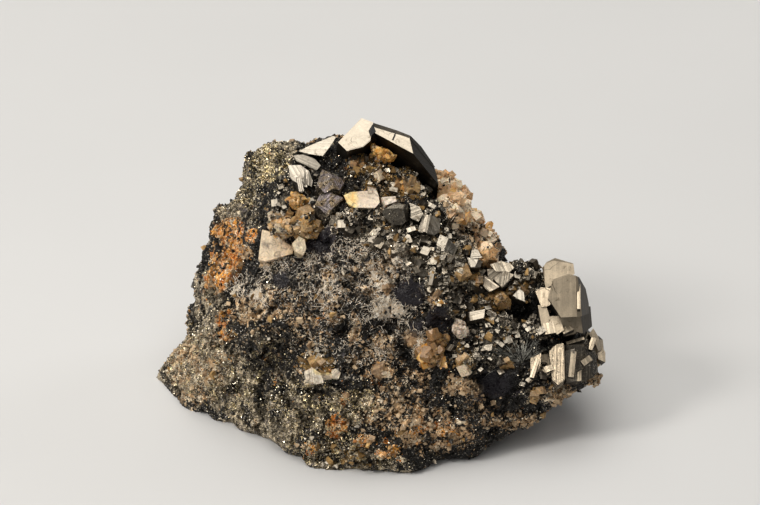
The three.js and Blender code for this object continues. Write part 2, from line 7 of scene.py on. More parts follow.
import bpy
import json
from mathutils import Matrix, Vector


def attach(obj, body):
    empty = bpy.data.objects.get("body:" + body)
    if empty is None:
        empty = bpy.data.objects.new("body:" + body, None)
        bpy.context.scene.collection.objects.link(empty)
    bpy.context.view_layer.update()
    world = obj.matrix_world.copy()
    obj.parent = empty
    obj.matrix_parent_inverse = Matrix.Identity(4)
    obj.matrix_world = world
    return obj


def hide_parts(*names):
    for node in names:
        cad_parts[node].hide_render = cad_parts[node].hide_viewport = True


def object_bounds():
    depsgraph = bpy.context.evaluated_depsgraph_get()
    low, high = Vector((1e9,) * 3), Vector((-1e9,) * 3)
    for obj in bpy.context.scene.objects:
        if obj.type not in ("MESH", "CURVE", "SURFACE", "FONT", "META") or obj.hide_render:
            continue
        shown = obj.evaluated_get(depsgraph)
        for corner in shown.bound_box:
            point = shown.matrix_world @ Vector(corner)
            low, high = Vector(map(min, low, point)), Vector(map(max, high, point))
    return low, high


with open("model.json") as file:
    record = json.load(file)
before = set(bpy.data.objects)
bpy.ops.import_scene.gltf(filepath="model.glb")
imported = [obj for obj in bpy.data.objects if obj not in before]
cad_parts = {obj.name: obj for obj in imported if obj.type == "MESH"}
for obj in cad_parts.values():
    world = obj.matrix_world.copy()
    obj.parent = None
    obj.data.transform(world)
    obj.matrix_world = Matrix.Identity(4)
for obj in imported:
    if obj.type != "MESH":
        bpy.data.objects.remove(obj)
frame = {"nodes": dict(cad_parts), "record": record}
cad_box = [list(corner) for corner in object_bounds()]

import itertools
import json
import math

import bmesh
import bpy
import numpy as np
from mathutils import Vector
from mathutils.bvhtree import BVHTree

MM = 0.001
LEAN = math.radians(30)  # the show face leans back this far
SIN, COS = math.sin(LEAN), math.cos(LEAN)
ACROSS, RISE, OUT = np.array([(1, 0, 0), (0, SIN, COS), (0, -COS, SIN)])  # the show face's axes

# ---- places ----


def to_world(p):
    """Show-face millimetres to row-frame metres."""
    return np.asarray(p, float) @ np.array([ACROSS, RISE, OUT]) * MM


def to_face(p):
    """Row-frame metres to show-face millimetres."""
    return np.asarray(p, float) / MM @ np.array([ACROSS, RISE, OUT]).T


def smooth(low, high, x):
    t = np.clip((x - low) / (high - low), 0, 1)
    return t * t * (3 - 2 * t)


def away(p, across, rise, wide, high):
    """How far points lie from a place of the show face: 1 on the rim of an ellipse round it."""
    return np.hypot((p[:, 0] - across) / wide, (p[:, 1] - rise) / high)


def unit(v):
    v = np.asarray(v, float)
    return v / np.maximum(np.linalg.norm(v, axis=-1, keepdims=True), 1e-12)


# ---- repeatable noise ----


def dice(cells, seed, count=1):
    """Repeatable numbers from 0 to 1 for whole-numbered cells."""
    c = cells.astype(np.int64).astype(np.uint32)
    x, y, z = (c[..., i] * np.uint32(prime) for i, prime in enumerate((73856093, 19349663, 83492791)))
    base, out = x ^ y ^ z, []
    for k in range(count):
        h = base ^ np.uint32((seed * 7919 + k * 104729 + 12345) & 0xFFFFFFFF)
        h = (h ^ (h >> np.uint32(16))) * np.uint32(0x7FEB352D)
        h = (h ^ (h >> np.uint32(15))) * np.uint32(0x846CA68B)
        out.append((h ^ (h >> np.uint32(16))) / 4294967296.0)
    return out[0] if count == 1 else np.stack(out, -1)


def seed_of(name):
    return sum(map(ord, name))


def noise(p, wave, seed, octaves=1):
    """Smooth noise from -1 to 1; wave is the first wavelength in the units of p."""
    total, size, reach = 0.0, 1.0, 0.0
    for k in range(octaves):
        q = p / wave * 2**k
        i = np.floor(q)
        f = q - i
        f = f * f * (3 - 2 * f)
        value = 0.0
        for corner in itertools.product((0, 1), repeat=3):
            weight = np.prod(np.where(corner, f, 1 - f), -1)
            value = value + weight * dice(i + corner, seed + 31 * k)
        total = total + size * (2 * value - 1)
        reach += size
        size *= 0.5
    return total / reach


def web(p, wave, seed, width):
    """1 along the winding lines of a net, 0 in its meshes."""
    bent = p + 0.35 * wave * np.stack([noise(p, wave / 2, seed + s, 2) for s in (1, 2, 3)], -1)
    lines = [smooth(width, 0.3 * width, np.abs(noise(bent, wave, seed + s))) for s in (5, 6)]
    return np.maximum(*lines)


def grains(p, size, seed):
    """Nearest grain of space: offset from its heart, its dice, and how far the next grain's border is."""
    q = p / size
    home = np.floor(q)
    near, next_near = np.full(len(p), 9.0), np.full(len(p), 9.0)
    offset, cell = np.zeros_like(q), home.copy()
    for step in itertools.product((-1, 0, 1), repeat=3):
        c = home + step
        apart = q - (c + 0.5 + 0.8 * (dice(c, seed, 3) - 0.5))
        d = np.linalg.norm(apart, axis=1)
        nearer = d < near
        next_near = np.where(nearer, near, np.minimum(next_near, d))
        near = np.where(nearer, d, near)
        offset[nearer], cell[nearer] = apart[nearer], c[nearer]
    return offset * size, dice(cell, seed + 5, 4), (next_near - near) * size


# ---- meshes ----


def link(name, mesh):
    made = bpy.data.objects.new(name, mesh)
    bpy.context.scene.collection.objects.link(made)
    return made


def new_object(name, verts, faces):
    """A mesh object from points in metres and rows of three or four corners."""
    mesh = bpy.data.meshes.new(name)
    verts, faces = np.asarray(verts, np.float32), np.asarray(faces, np.int32)
    mesh.vertices.add(len(verts))
    mesh.vertices.foreach_set("co", verts.ravel())
    mesh.loops.add(faces.size)
    mesh.loops.foreach_set("vertex_index", faces.ravel())
    mesh.polygons.add(len(faces))
    mesh.polygons.foreach_set("loop_start", np.arange(len(faces)) * faces.shape[1])
    mesh.update(calc_edges=True)
    mesh.polygons.foreach_set("use_smooth", np.zeros(len(faces), bool))
    return link(name, mesh)


def joined(name, solids):
    """One object from many solids, each given as its points and its triangles."""
    starts = np.cumsum([0] + [len(points) for points, _ in solids])
    faces = [triangles + start for (_, triangles), start in zip(solids, starts)]
    return new_object(name, np.concatenate([points for points, _ in solids]), np.concatenate(faces))


def vectors_of(items, field="vector"):
    """The three numbers of every vertex, normal or face of a mesh, as rows."""
    flat = np.empty(len(items) * 3, np.float32)
    items.foreach_get(field, flat)
    return flat.reshape(-1, 3).astype(float)


def triangles_of(mesh):
    mesh.calc_loop_triangles()
    t = np.empty(len(mesh.loop_triangles) * 3, np.int32)
    mesh.loop_triangles.foreach_get("vertices", t)
    return t.reshape(-1, 3)


def note(mesh, domain="POINT", **numbers):
    """Stores a number per vertex, face or corner, or one for all, for the materials to read."""
    for name, values in numbers.items():
        layer = mesh.attributes.new(name, "FLOAT", domain)
        layer.data.foreach_set("value", np.full(len(layer.data), values, np.float32))


def even_skin(bm, voxel_mm):
    """A fine even mesh over a closed solid."""
    coarse = bpy.data.meshes.new("coarse")
    bm.to_mesh(coarse)
    holder = link("coarse", coarse)
    remesh = holder.modifiers.new("skin", "REMESH")
    remesh.mode, remesh.voxel_size = "VOXEL", voxel_mm * MM
    skin = bpy.data.meshes.new_from_object(holder.evaluated_get(bpy.context.evaluated_depsgraph_get()))
    bpy.data.objects.remove(holder)
    return skin


def skin_of(node, voxel_mm):
    """A fine skin over a CAD node, and its points and normals."""
    bm = bare_copy(node)
    skin = even_skin(bm, voxel_mm)
    bm.free()
    return skin, vectors_of(skin.vertices, "co"), vectors_of(skin.vertex_normals)


def move_points(mesh, places):
    """Gives a flat-shaded mesh new places for its points."""
    mesh.vertices.foreach_set("co", places.astype(np.float32).ravel())
    mesh.update()
    mesh.polygons.foreach_set("use_smooth", np.zeros(len(mesh.polygons), bool))


def in_order(bm):
    """Puts a mesh's corners, edges and faces in an order that depends only on where they are."""
    spots = ((bm.verts, lambda v: v.co), (bm.edges, lambda e: e.verts[0].co + e.verts[1].co),
             (bm.faces, lambda f: f.calc_center_median()))
    for parts, spot in spots:
        places = [tuple(round(c / MM * 1e4) for c in spot(part)) for part in parts]
        rank = {i: r for r, i in enumerate(sorted(range(len(places)), key=places.__getitem__))}
        parts.index_update()
        parts.sort(key=lambda part: rank[part.index])
        parts.index_update()


def longest_edge(face):
    """Direction of a face's longest edge, the same whichever corner the face starts at."""
    edge = max(face.edges, key=lambda e: (round(e.calc_length() / MM * 1e3), e.index))
    a, b = sorted((v.co for v in edge.verts), key=lambda co: tuple(round(c / MM * 1e4) for c in co))
    return (b - a).normalized()


def hull(points):
    """Corners and triangles of the convex solid round some points."""
    bm = bmesh.new()
    for p in points:
        bm.verts.new(p)
    made = bmesh.ops.convex_hull(bm, input=bm.verts)
    bmesh.ops.delete(bm, geom=[g for g in made["geom_interior"] if isinstance(g, bmesh.types.BMVert)],
                     context="VERTS")
    bmesh.ops.recalc_face_normals(bm, faces=bm.faces)
    bmesh.ops.triangulate(bm, faces=bm.faces)
    bm.verts.index_update()
    verts = np.array([v.co[:] for v in bm.verts])
    faces = np.array([[v.index for v in f.verts] for f in bm.faces])
    bm.free()
    return verts, faces


def dress(piece, material):
    """Gives a piece its material and its body."""
    piece.data.materials.clear()
    piece.data.materials.append(material)
    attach(piece, "root")
    return piece


def stand_in(node, name, mesh, material):
    """A dressed piece that takes a CAD node's place."""
    piece = link(name, mesh)
    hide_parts(node)
    return dress(piece, material)


# ---- node materials ----


class Look:
    """A node material built by short calls; every value is a socket or a plain number."""

    def __init__(self, name):
        self.material = bpy.data.materials.new(name)
        self.material.use_nodes = True
        self.nodes, self.links = self.material.node_tree.nodes, self.material.node_tree.links
        self.place = self.node("TexCoord")["Object"]

    def node(self, kind, inputs=(), **settings):
        """The outputs of a new node with these inputs and settings."""
        made = self.nodes.new("ShaderNode" + kind)
        for key, value in settings.items():
            setattr(made, key, value)
        self.fill(made, dict(inputs))
        return made.outputs

    def fill(self, node, inputs):
        for key, value in inputs.items():
            socket = node.inputs[key]
            if isinstance(value, bpy.types.NodeSocket):
                self.links.new(value, socket)
            elif value is not None:
                socket.default_value = (*value, 1) if socket.type == "RGBA" else value

    def math(self, operation, a, b=None, c=None, clamp=False):
        return self.node("Math", {0: a, 1: b, 2: c}, operation=operation, use_clamp=clamp)[0]

    def times(self, a, b):
        return self.math("MULTIPLY", a, b)

    def highest(self, a, *others):
        for b in others:
            a = self.math("MAXIMUM", a, b)
        return a

    def vector(self, operation, a, b=None, factor=None):
        return self.node("VectorMath", {0: a, 1: b, 3: factor}, operation=operation)[0]

    def scaled(self, colour, factor):
        return self.vector("SCALE", colour, factor=factor)

    def noise(self, size_mm, detail=2, distortion=0, seed=0):
        at = self.place
        if seed:  # another part of the same endless noise
            at = self.vector("ADD", at, (0.31 * seed, 0.17 * seed, 0.23 * seed))
        return self.node("TexNoise", {"Vector": at, "Scale": 1 / (size_mm * MM), "Detail": detail,
                                      "Distortion": distortion})["Fac"]

    def cells(self, size_mm, feature="F1", output="Color", at=None):
        inputs = {"Vector": at or self.place, "Scale": 1 / (size_mm * MM)}
        return self.node("TexVoronoi", inputs, feature=feature)[output]

    def numbers(self, size_mm):
        """Three random numbers that stay the same over each small cell."""
        return self.node("SeparateColor", {0: self.cells(size_mm)})

    def attribute(self, name):
        return self.node("Attribute", attribute_name=name)["Fac"]

    def step(self, low, high, value):
        """0 below low, 1 above high, smooth between."""
        return self.node("MapRange", {"Value": value, "From Min": low, "From Max": high},
                         interpolation_type="SMOOTHSTEP")[0]

    def range(self, value, low, high):
        return self.node("MapRange", {"Value": value, "To Min": low, "To Max": high})[0]

    def mix(self, factor, a, b):
        return self.node("Mix", {0: factor, 6: a, 7: b}, data_type="RGBA")[2]

    def blend(self, factor, a, b):
        return self.node("Mix", {0: factor, 2: a, 3: b})[0]

    def layers(self, colour, *shares_and_colours):
        """A colour with others laid over it, each where its share says."""
        for share, over in shares_and_colours:
            colour = self.mix(share, colour, over)
        return colour

    def growth_lines(self, per_mm):
        """Broad and fine ribs across each face, from the distance that its corners hold."""
        across = self.attribute("across")
        broad, fine = (self.node("TexNoise", {"W": across, "Scale": scale, "Detail": detail},
                                 noise_dimensions="1D")["Fac"] for scale, detail in ((1.7, 2), (per_mm, 3)))
        both = self.math("MULTIPLY_ADD", fine, 0.5, self.times(self.step(0.4, 0.6, broad), 0.6))
        return self.times(both, self.attribute("lines"))

    def bumps(self, *layers):
        """The surface's direction under layers of relief, each a height and its depth in mm."""
        normal = None
        for height, depth_mm in layers:
            normal = self.node("Bump", {"Height": height, "Distance": depth_mm * MM, "Normal": normal})[0]
        return normal

    def glitter(self, size_mm, spread, normal):
        """Turns each tiny cell of the surface its own way, as the faces of fine grains do."""
        random = self.vector("SUBTRACT", self.cells(size_mm), (0.5, 0.5, 0.5))
        return self.vector("NORMALIZE", self.vector("ADD", normal, self.scaled(random, spread)))

    def finish(self, **inputs):
        """The material, with these inputs of its shader."""
        self.fill(self.nodes["Principled BSDF"], {k.replace("_", " "): v for k, v in inputs.items()})
        return self.material


BLACK = (0.0075, 0.0066, 0.0058)
CHARCOAL = (0.031, 0.027, 0.022)
# painted shade for metal faces turned away from the lamps
PAINTED_SHADE = (0.033, 0.028, 0.022)
STEEL = (0.5, 0.455, 0.385)
STRAW = (0.56, 0.46, 0.33)
UMBER = (0.085, 0.055, 0.028)
OLIVE = (0.085, 0.068, 0.042)
ASH = (0.72, 0.61, 0.44)
TAN = (0.36, 0.21, 0.1)
PEACH = (0.74, 0.5, 0.28)
CREAM = (0.84, 0.7, 0.51)
RUST = (0.5, 0.15, 0.025)
AMBER = (0.76, 0.34, 0.06)
HONEY = (0.62, 0.38, 0.12)
GOLD = (0.78, 0.64, 0.38)
VIOLET = (0.41, 0.355, 0.395)


def tennantite_look(name, lit_colour=STEEL, blotches=None):
    """Metallic faces: painted light and shade by how each is turned, growth lines, hair cracks, brown film,
    sparkling etched places.
    """
    k = Look(name)
    lustre, warm, satin = (k.attribute(n) for n in ("lustre", "warm", "satin"))
    ribs, cloud, mottle = k.growth_lines(6), k.noise(2.4, 5, 0.6), k.noise(0.28, 3)
    wander = k.node("TexNoise", {"Vector": k.place, "Scale": 400})["Color"]
    bent = k.vector("ADD", k.place, k.scaled(wander, 2 * MM))
    crack = k.step(0.014, 0.005, k.cells(4.2, "DISTANCE_TO_EDGE", "Distance", bent))
    crack = k.times(crack, k.step(0.54, 0.66, k.noise(5)))
    grime = k.step(0.6, 0.7, k.noise(1.1, 5, 0.8))
    if blotches:
        lit_colour = k.mix(k.step(0.44, 0.56, k.noise(1.3, 5, 0.8, seed=6)), lit_colour, blotches)
    # Painted light and shade: the steel colour where a face is turned to the lamps, a near-black where it
    # is turned away.
    colour = k.mix(lustre, PAINTED_SHADE, k.mix(warm, lit_colour, STRAW))
    colour = k.scaled(colour, k.times(k.range(cloud, 0.66, 1.28), k.range(mottle, 0.74, 1.26)))
    colour = k.scaled(colour, k.times(k.range(ribs, 1.22, 0.45), k.range(satin, 1, 1.6)))
    etched = k.times(k.attribute("etched"), k.step(0.42, 0.52, k.noise(0.9, 3, seed=2)))
    tiny = k.numbers(0.16)
    colour = k.layers(colour, (k.times(grime, 0.55), UMBER), (k.times(crack, 0.7), BLACK),
                      (k.times(etched, k.step(0.55, 0.95, tiny[0])), (0.6, 0.52, 0.4)),
                      (k.times(etched, k.step(0.3, 0.05, tiny[1])), BLACK))
    rough = k.math("ADD", k.blend(lustre, 0.34, 0.17), k.times(cloud, 0.16))
    rough = k.math("ADD", rough, k.times(satin, 0.16))
    normal = k.bumps((ribs, 0.1), (k.noise(0.5, 4), 0.012), (k.noise(3), 0.06))
    normal = k.glitter(0.16, k.times(etched, 0.9), normal)
    return k.finish(Base_Color=colour, Metallic=k.range(satin, 0.98, 0.55), Roughness=rough, Normal=normal)


def gangue_look(name, deep, pale, stained=(AMBER, (0.86, 0.53, 0.17)), clear=0, rough=0.42):
    """Carbonate, honey and quartz grains: stained, layered, a little see-through, with painted shade in the
    clefts.
    """
    k = Look(name)
    cloud, tint = k.noise(1.5, 5, 0.8), k.attribute("tint")
    level = k.math("ADD", k.times(k.step(0.32, 0.68, cloud), 0.55), k.times(tint, 0.55), clamp=True)
    honeyed = k.mix(k.step(0.35, 0.65, k.noise(0.9, 4, seed=3)), *stained)
    brown = k.step(0.53, 0.66, k.noise(1.2, 6, 1.2, seed=4))
    flecks = k.step(0.62, 0.68, k.noise(0.35, 4, 0.6))
    colour = k.layers(deep, (level, pale), (k.attribute("cream"), CREAM), (k.attribute("amber"), honeyed),
                      (k.times(brown, 0.6), k.scaled(UMBER, 1.5)), (k.times(flecks, 0.45), UMBER))
    ribs = k.growth_lines(5)
    colour = k.scaled(colour, k.range(ribs, 1.15, 0.45))
    # Darkest where the stains are dark, and painted shade in the clefts between the grains.
    colour = k.mix(k.attribute("dark"), colour, BLACK)
    fine = k.range(k.noise(0.3, 3), 0.6, 1.4)
    colour = k.scaled(colour, k.times(fine, k.range(k.noise(0.9, 3, seed=5), 0.7, 1.3)))
    normal = k.bumps((k.noise(0.5, 3), 0.08), (k.noise(0.16), 0.03), (ribs, 0.1))
    return k.finish(Base_Color=colour, Roughness=k.range(k.noise(0.7, 3), rough - 0.2, rough + 0.2),
                    Transmission_Weight=clear, IOR=1.6, Subsurface_Weight=0.15,
                    Subsurface_Radius=(1, 0.5, 0.25), Subsurface_Scale=0.5 * MM, Normal=normal)


def ore_look():
    """The broken ore: ragged patches and veins of several minerals, each grain its own shade and tilt."""
    k = Look("ore")
    first, second, third = k.numbers(0.25)
    shade, other, last = k.numbers(0.18)
    coarse, middle, fine = k.noise(2.8, 5, 0.8), k.noise(0.9, 3, seed=1), k.noise(0.4, 2, seed=2)
    tone = k.math("ADD", k.times(shade, 0.5), k.times(k.step(0.35, 0.65, middle), 0.5))

    def over(part, random):
        return k.math("GREATER_THAN", part, random)

    def patches(name, seed, size_mm, random, most=1):
        """Where a mineral covers the ground: ragged patches that follow its share, with grainy borders."""
        pattern = k.math("SUBTRACT", k.noise(size_mm, 5, 0.7, seed), 0.5)
        value = k.math("MULTIPLY_ADD", pattern, 10, k.math("MULTIPLY_ADD", k.attribute(name), 3.4, -2.2))
        return over(k.times(k.step(-0.9, 0.9, value), most), random)

    def veins(name, seed, size_mm, width, random):
        """Winding hair lines where a mineral has some share."""
        apart = k.math("ABSOLUTE", k.math("SUBTRACT", k.noise(size_mm, 3, 1, seed), 0.5))
        line = k.times(k.step(width, width * 0.3, apart), k.step(0.12, 0.5, k.attribute(name)))
        return over(k.times(line, 0.8), random)

    bare = k.mix(k.step(0.35, 0.65, k.noise(1.1, 3, seed=3)), BLACK, CHARCOAL)
    grey = patches("grey", 11, 2.4, first)
    ash = k.mix(k.step(0.22, 0.85, tone), OLIVE, ASH)
    ash = k.mix(over(0.05, last), ash, k.scaled(VIOLET, 0.4))
    violet = k.times(patches("violet", 12, 2, second), 0.8)
    lace = k.highest(patches("carbonate", 13, 1.9, third, 0.94), veins("carbonate", 14, 1.5, 0.02, third))
    tan = k.mix(k.step(0.2, 0.8, tone), k.scaled(TAN, 0.55), PEACH)
    tan = k.mix(over(k.step(0.5, 0.62, k.noise(1.3, 3, seed=4)), other), tan, CREAM)
    rust = patches("rust", 15, 1.8, second, 0.96)
    ochre = k.mix(k.step(0.4, 0.58, k.noise(1.4, 3, seed=5)), RUST, AMBER)
    ochre = k.mix(k.step(0.5, 0.62, k.noise(1.2, 3, seed=6)), ochre, PEACH)
    ochre = k.mix(over(0.12, other), k.scaled(ochre, k.range(shade, 0.45, 1.35)), CREAM)
    honey = k.mix(tone, UMBER, k.scaled(HONEY, 0.7))
    brass = patches("brass", 16, 1.5, first, 0.66)
    gold = k.scaled(GOLD, k.range(shade, 0.1, 1.3))
    white = k.highest(patches("white", 17, 1.5, other, 0.3), veins("white", 18, 1.8, 0.014, other))
    pale = k.mix(k.step(0.1, 0.6, shade), TAN, (0.84, 0.77, 0.66))
    colour = k.layers(bare, (k.step(0.9, 0.99, shade), (0.42, 0.39, 0.35)), (grey, ash),
                      (violet, k.scaled(VIOLET, 0.2)), (lace, tan), (rust, ochre),
                      (patches("honeyed", 19, 1.6, third, 0.85), honey), (brass, gold), (white, pale))
    clouds = k.range(k.step(0.36, 0.6, coarse), 0.5, 1.25)
    colour = k.scaled(colour, k.times(clouds, k.range(fine, 0.6, 1.4)))
    # Painted shade in the hollows: the lower a point lies in its relief, the darker it is.
    colour = k.scaled(colour, k.range(k.attribute("hollow"), 1, 0.15))
    # Black laid over the ground: partly black mineral, partly painted shade in pits and under the foot
    # crystals.
    glossy, soot_and_shade = k.attribute("glossy"), k.times(k.attribute("soot_and_shade"), k.range(middle, 0.8, 1.1))
    colour = k.layers(colour, (soot_and_shade, BLACK),
                      (k.times(glossy, k.range(middle, 0.9, 0.6)), (0.016, 0.014, 0.018)))
    dull = k.highest(lace, rust, white)
    metal = k.highest(k.times(grey, 0.5), brass, k.step(0.85, 0.99, shade))
    metal = k.times(metal, k.math("SUBTRACT", 1, dull))
    rough = k.blend(dull, k.range(other, 0.18, 0.5), k.range(other, 0.4, 0.85))
    rough = k.blend(glossy, rough, 0.24)
    normal = k.bumps((k.noise(0.32, 4, 0.5), 0.1), (k.cells(0.42, output="Distance"), 0.1))
    normal = k.glitter(0.25, k.range(glossy, 1, 0.25), normal)
    return k.finish(Base_Color=colour, Metallic=metal, Roughness=rough, Normal=normal,
                    Specular_IOR_Level=0.2)


def grain_look(name, dark, pale, metal=0, rough=0.4):
    """Small grains, each of its own shade."""
    k = Look(name)
    colour = k.mix(k.attribute("tint"), dark, pale)
    colour = k.scaled(colour, k.range(k.noise(0.4, 3), 0.55, 1.45))
    roughness = k.range(k.noise(0.6, 2), rough - 0.1, rough + 0.15)
    return k.finish(Base_Color=colour, Metallic=metal, Roughness=roughness,
                    Normal=k.bumps((k.noise(0.12, 3), 0.015)), Specular_IOR_Level=0.3)


# ---- where each mineral shows ----

# Patches on the show face: centre across and rise, half-widths across and up, share of the ground.
PATCHES = {
    "grey": [
        (-29, 17.5, 3.4, 6, 0.85), (-31, 8, 7, 7, 1), (-25, 4, 6, 5, 0.85), (-14.5, 0.5, 7.5, 4.5, 0.85),
        (-20, -2.5, 6.5, 4, 0.95), (-7.6, -7.5, 9, 4, 0.72), (-5, 1.5, 4.5, 2.5, 0.9),
        (-19, 42.5, 4.5, 4.5, 0.9), (-24.5, 35, 4.5, 5.5, 0.75), (-1, -8.5, 6, 2.5, 0.65),
        (-20, 9, 6, 4, 0.35), (-17.5, 6.5, 5, 3, 0.55), (20, 12, 8, 5, 0.35), (14, 20, 8, 5, 0.45),
        (4, 27, 9, 4, 0.6), (-14, 21.5, 6, 4, 0.35), (28, 2.5, 6, 2, 0.4),
    ],
    "brass": [
        (-19.3, 40.5, 3.4, 4, 0.9), (-22.4, 34.9, 1.6, 1.6, 0.8), (-24.2, 36.5, 2.6, 3, 0.5),
        (-31.1, 8.6, 5.5, 6.5, 0.4), (-24.5, 4.3, 7.5, 3.8, 0.45), (-12.9, 1.7, 6, 4.5, 0.5),
        (-9.6, -4.8, 6.5, 4.5, 0.5), (-4.8, 1.9, 4, 2.6, 0.6), (-1.5, -8, 5, 2.6, 0.4),
        (-19, 8.5, 4, 2.6, 0.4), (-13.4, 4.2, 3, 1.6, 0.7),
    ],
    "rust": [
        (-24.4, 25.4, 2, 3.8, 1), (-27.6, 21.4, 2.4, 1.8, 1), (-26.4, 29.4, 2.2, 1.8, 0.9),
        (-25, 29, 2.4, 2.6, 0.6), (-22.2, 28.6, 1.4, 1.2, 0.7), (-27, 24.5, 2.2, 2.6, 0.75),
        (-26.2, 15.2, 1.1, 1.6, 0.7), (-26, 12.6, 1.3, 1.2, 0.7), (-11.9, 8.4, 1.4, 1.2, 0.5),
        (-9.5, 7, 1, 0.8, 0.5), (-6.4, 2.7, 0.9, 1.1, 1), (-7.2, -2.2, 1.6, 1.9, 0.95),
        (-3.2, -4, 1.4, 1.1, 0.9), (0.7, -5.6, 2.2, 1.3, 0.7), (-12.1, -6, 1.2, 1.3, 0.7),
        (-1.1, 42.1, 0.9, 0.8, 0.8), (-5.6, 40.5, 1.6, 1.2, 0.4), (8.6, 17.9, 1.5, 0.9, 0.7),
        (6.5, -2.3, 6, 3.4, 0.32), (-16, 33, 2, 1.5, 0.4),
    ],
    "carbonate": [
        (-22.4, 16.4, 2.4, 2.2, 0.85), (-18, 17.5, 5, 2.4, 0.6), (-13.3, 14.9, 2.6, 1.5, 0.75),
        (-10.8, 18.4, 5, 2, 0.5), (-8.5, 15.4, 1.8, 1.2, 0.7), (-4.6, 13.6, 1.1, 2.6, 1.1),
        (-1.5, 8.2, 4.4, 2.8, 0.55), (-0.5, 11.4, 1.6, 1.3, 0.95), (4.6, 11.8, 1.9, 1.5, 1.3),
        (7.4, 10.2, 2.2, 2.6, 0.8), (2.5, 0.6, 7, 4, 0.58), (8.6, -2.7, 6.5, 3.8, 0.64),
        (4.5, 5.3, 3.4, 2.2, 0.5), (12.6, 4.5, 3.2, 1.6, 0.9), (-4.8, 22.3, 7.2, 2.6, 0.42),
        (0.7, 16.7, 2.3, 1.1, 1.3), (-0.3, 23.1, 2.4, 2.4, 0.6), (20.7, -1.5, 5.5, 1.5, 0.7),
        (28.8, 2.5, 5, 1.3, 0.9), (34.5, 6.2, 1.8, 1.8, 0.95), (10.6, 36.5, 2.8, 2.4, 1.15),
        (12.6, 32.4, 2.6, 2.4, 1.1), (15.9, 28, 2.1, 2.6, 0.95), (-31.5, 6.5, 5.5, 5.5, 0.55),
        (-22.7, 25.8, 1.2, 1.2, 0.9), (-18.9, 24.8, 1.5, 1, 0.95), (-11.2, 31.2, 1.3, 2.2, 0.75),
        (2, 35.6, 5, 2, 0.45), (14.5, 1, 4, 2.5, 0.4), (-2, 19.5, 3, 1.2, 0.6), (-16, 12, 9, 2.5, 0.35),
        (-0.7, 7, 1.2, 1, 1),
    ],
    "white": [
        (-5.6, 23.5, 9.5, 4.5, 0.55), (-12.5, 23, 6, 4, 0.38), (-4.8, 17.5, 9.5, 4, 0.4),
        (-4.5, 25, 4.5, 2.6, 0.9), (-8, 19.5, 2.4, 1.6, 0.7), (-17, 23.5, 2.6, 1.4, 0.7),
        (-17.7, 20.3, 6.5, 2.6, 0.42), (-7.6, 30, 4, 2.6, 0.42), (2.5, 12.2, 6.5, 2.8, 0.42),
        (0.7, 16.7, 2.3, 1.1, 1.3), (12.5, 33, 3.5, 5.5, 0.3), (-5, 11, 6, 3, 0.3), (6, 22, 6, 3, 0.35),
    ],
    "violet": [
        (-9.6, 31.2, 3, 3.4, 0.9), (4.1, 19.5, 3.8, 2.6, 0.8), (9, 15.9, 2.6, 2.9, 0.6),
        (17.9, 4.5, 3.8, 2.6, 0.7), (-23, 33.5, 1.2, 1.2, 0.6),
    ],
    # Black ground and painted shade: the crescent under the foot crystals and the pits of HOLLOWS are among
    # these.
    "soot_and_shade": [
        (22.8, 16.8, 2.8, 2.5, 1), (24, 11.3, 3.6, 1.1, 0.8), (-10.4, 27.6, 1.8, 1.5, 1),
        (-14.6, 32, 1.2, 0.8, 0.9), (-18, 9.9, 4.6, 3.2, 0.62), (-11.4, 3.7, 3.2, 0.5, 1),
        (17.9, 5, 3.6, 2.4, 1), (19, 1.6, 3, 1.3, 0.75), (4.1, 19.6, 2.6, 1.8, 0.7),
        (-27.2, 26.8, 1.4, 1.6, 0.65), (-23.4, 22.3, 1.2, 2.6, 0.8), (22, 7.5, 4, 3.4, 0.6),
        (9.2, 15.6, 2.2, 2.2, 0.6), (-13.5, 21, 3.4, 1.1, 0.6), (2, 42.5, 4, 1.8, 0.5),
        (7.2, 12.6, 1.2, 1.2, 0.8), (15, 11.4, 2.4, 1, 0.6), (29, 14.3, 1.5, 1.2, 0.9),
        (0.5, 14.4, 3, 1, 0.8), (3.2, 10.4, 1.5, 1.6, 0.8), (-7.4, 14, 1.6, 1.4, 0.8),
        (-16.9, 21.8, 2.4, 1.2, 0.7), (-4, 19, 2, 0.9, 0.75), (-11.6, 18.6, 2.2, 0.9, 0.7),
        (-11.5, 23.8, 2, 1, 0.7), (-20.2, 20, 1.6, 1, 0.6), (9, 6.2, 2, 1.4, 0.6),
    ],
    "druse": [
        (0, 39, 8, 4, 0.4), (1, 30, 10, 4, 1), (9, 25, 8, 4.5, 1), (14, 20, 8, 5, 1), (19, 13, 7, 6, 0.8),
        (24, 8, 6, 5, 0.7), (24, 18, 4, 6, 1), (-13, 36, 4, 5, 0.8), (-8, 28, 5, 3, 0.4),
    ],
    "honeyed": [
        (0.5, 40.5, 6, 3, 1), (1.5, 36.5, 5, 2, 0.8), (12, 23, 3, 2, 0.6), (16, 17, 3, 2, 0.6),
        (21.5, 19.5, 2, 1.6, 0.9), (-15.5, 32, 3, 2.5, 0.6), (13.5, 9.5, 2.5, 2.5, 0.6),
        (9, 29, 3, 2, 0.4), (-11, 8.2, 2.8, 1.8, 1.1), (-6, -7, 5, 3, 0.5),
    ],
}
# The same minerals on the sides no patch is given for: share, and the size of their areas.
ELSEWHERE = {
    "grey": (0.85, 12), "brass": (0.55, 9), "rust": (0.6, 8), "carbonate": (0.75, 9), "white": (0.45, 7),
    "violet": (0.4, 8), "soot_and_shade": (0.6, 6), "druse": (0.7, 11), "honeyed": (0.5, 8),
}


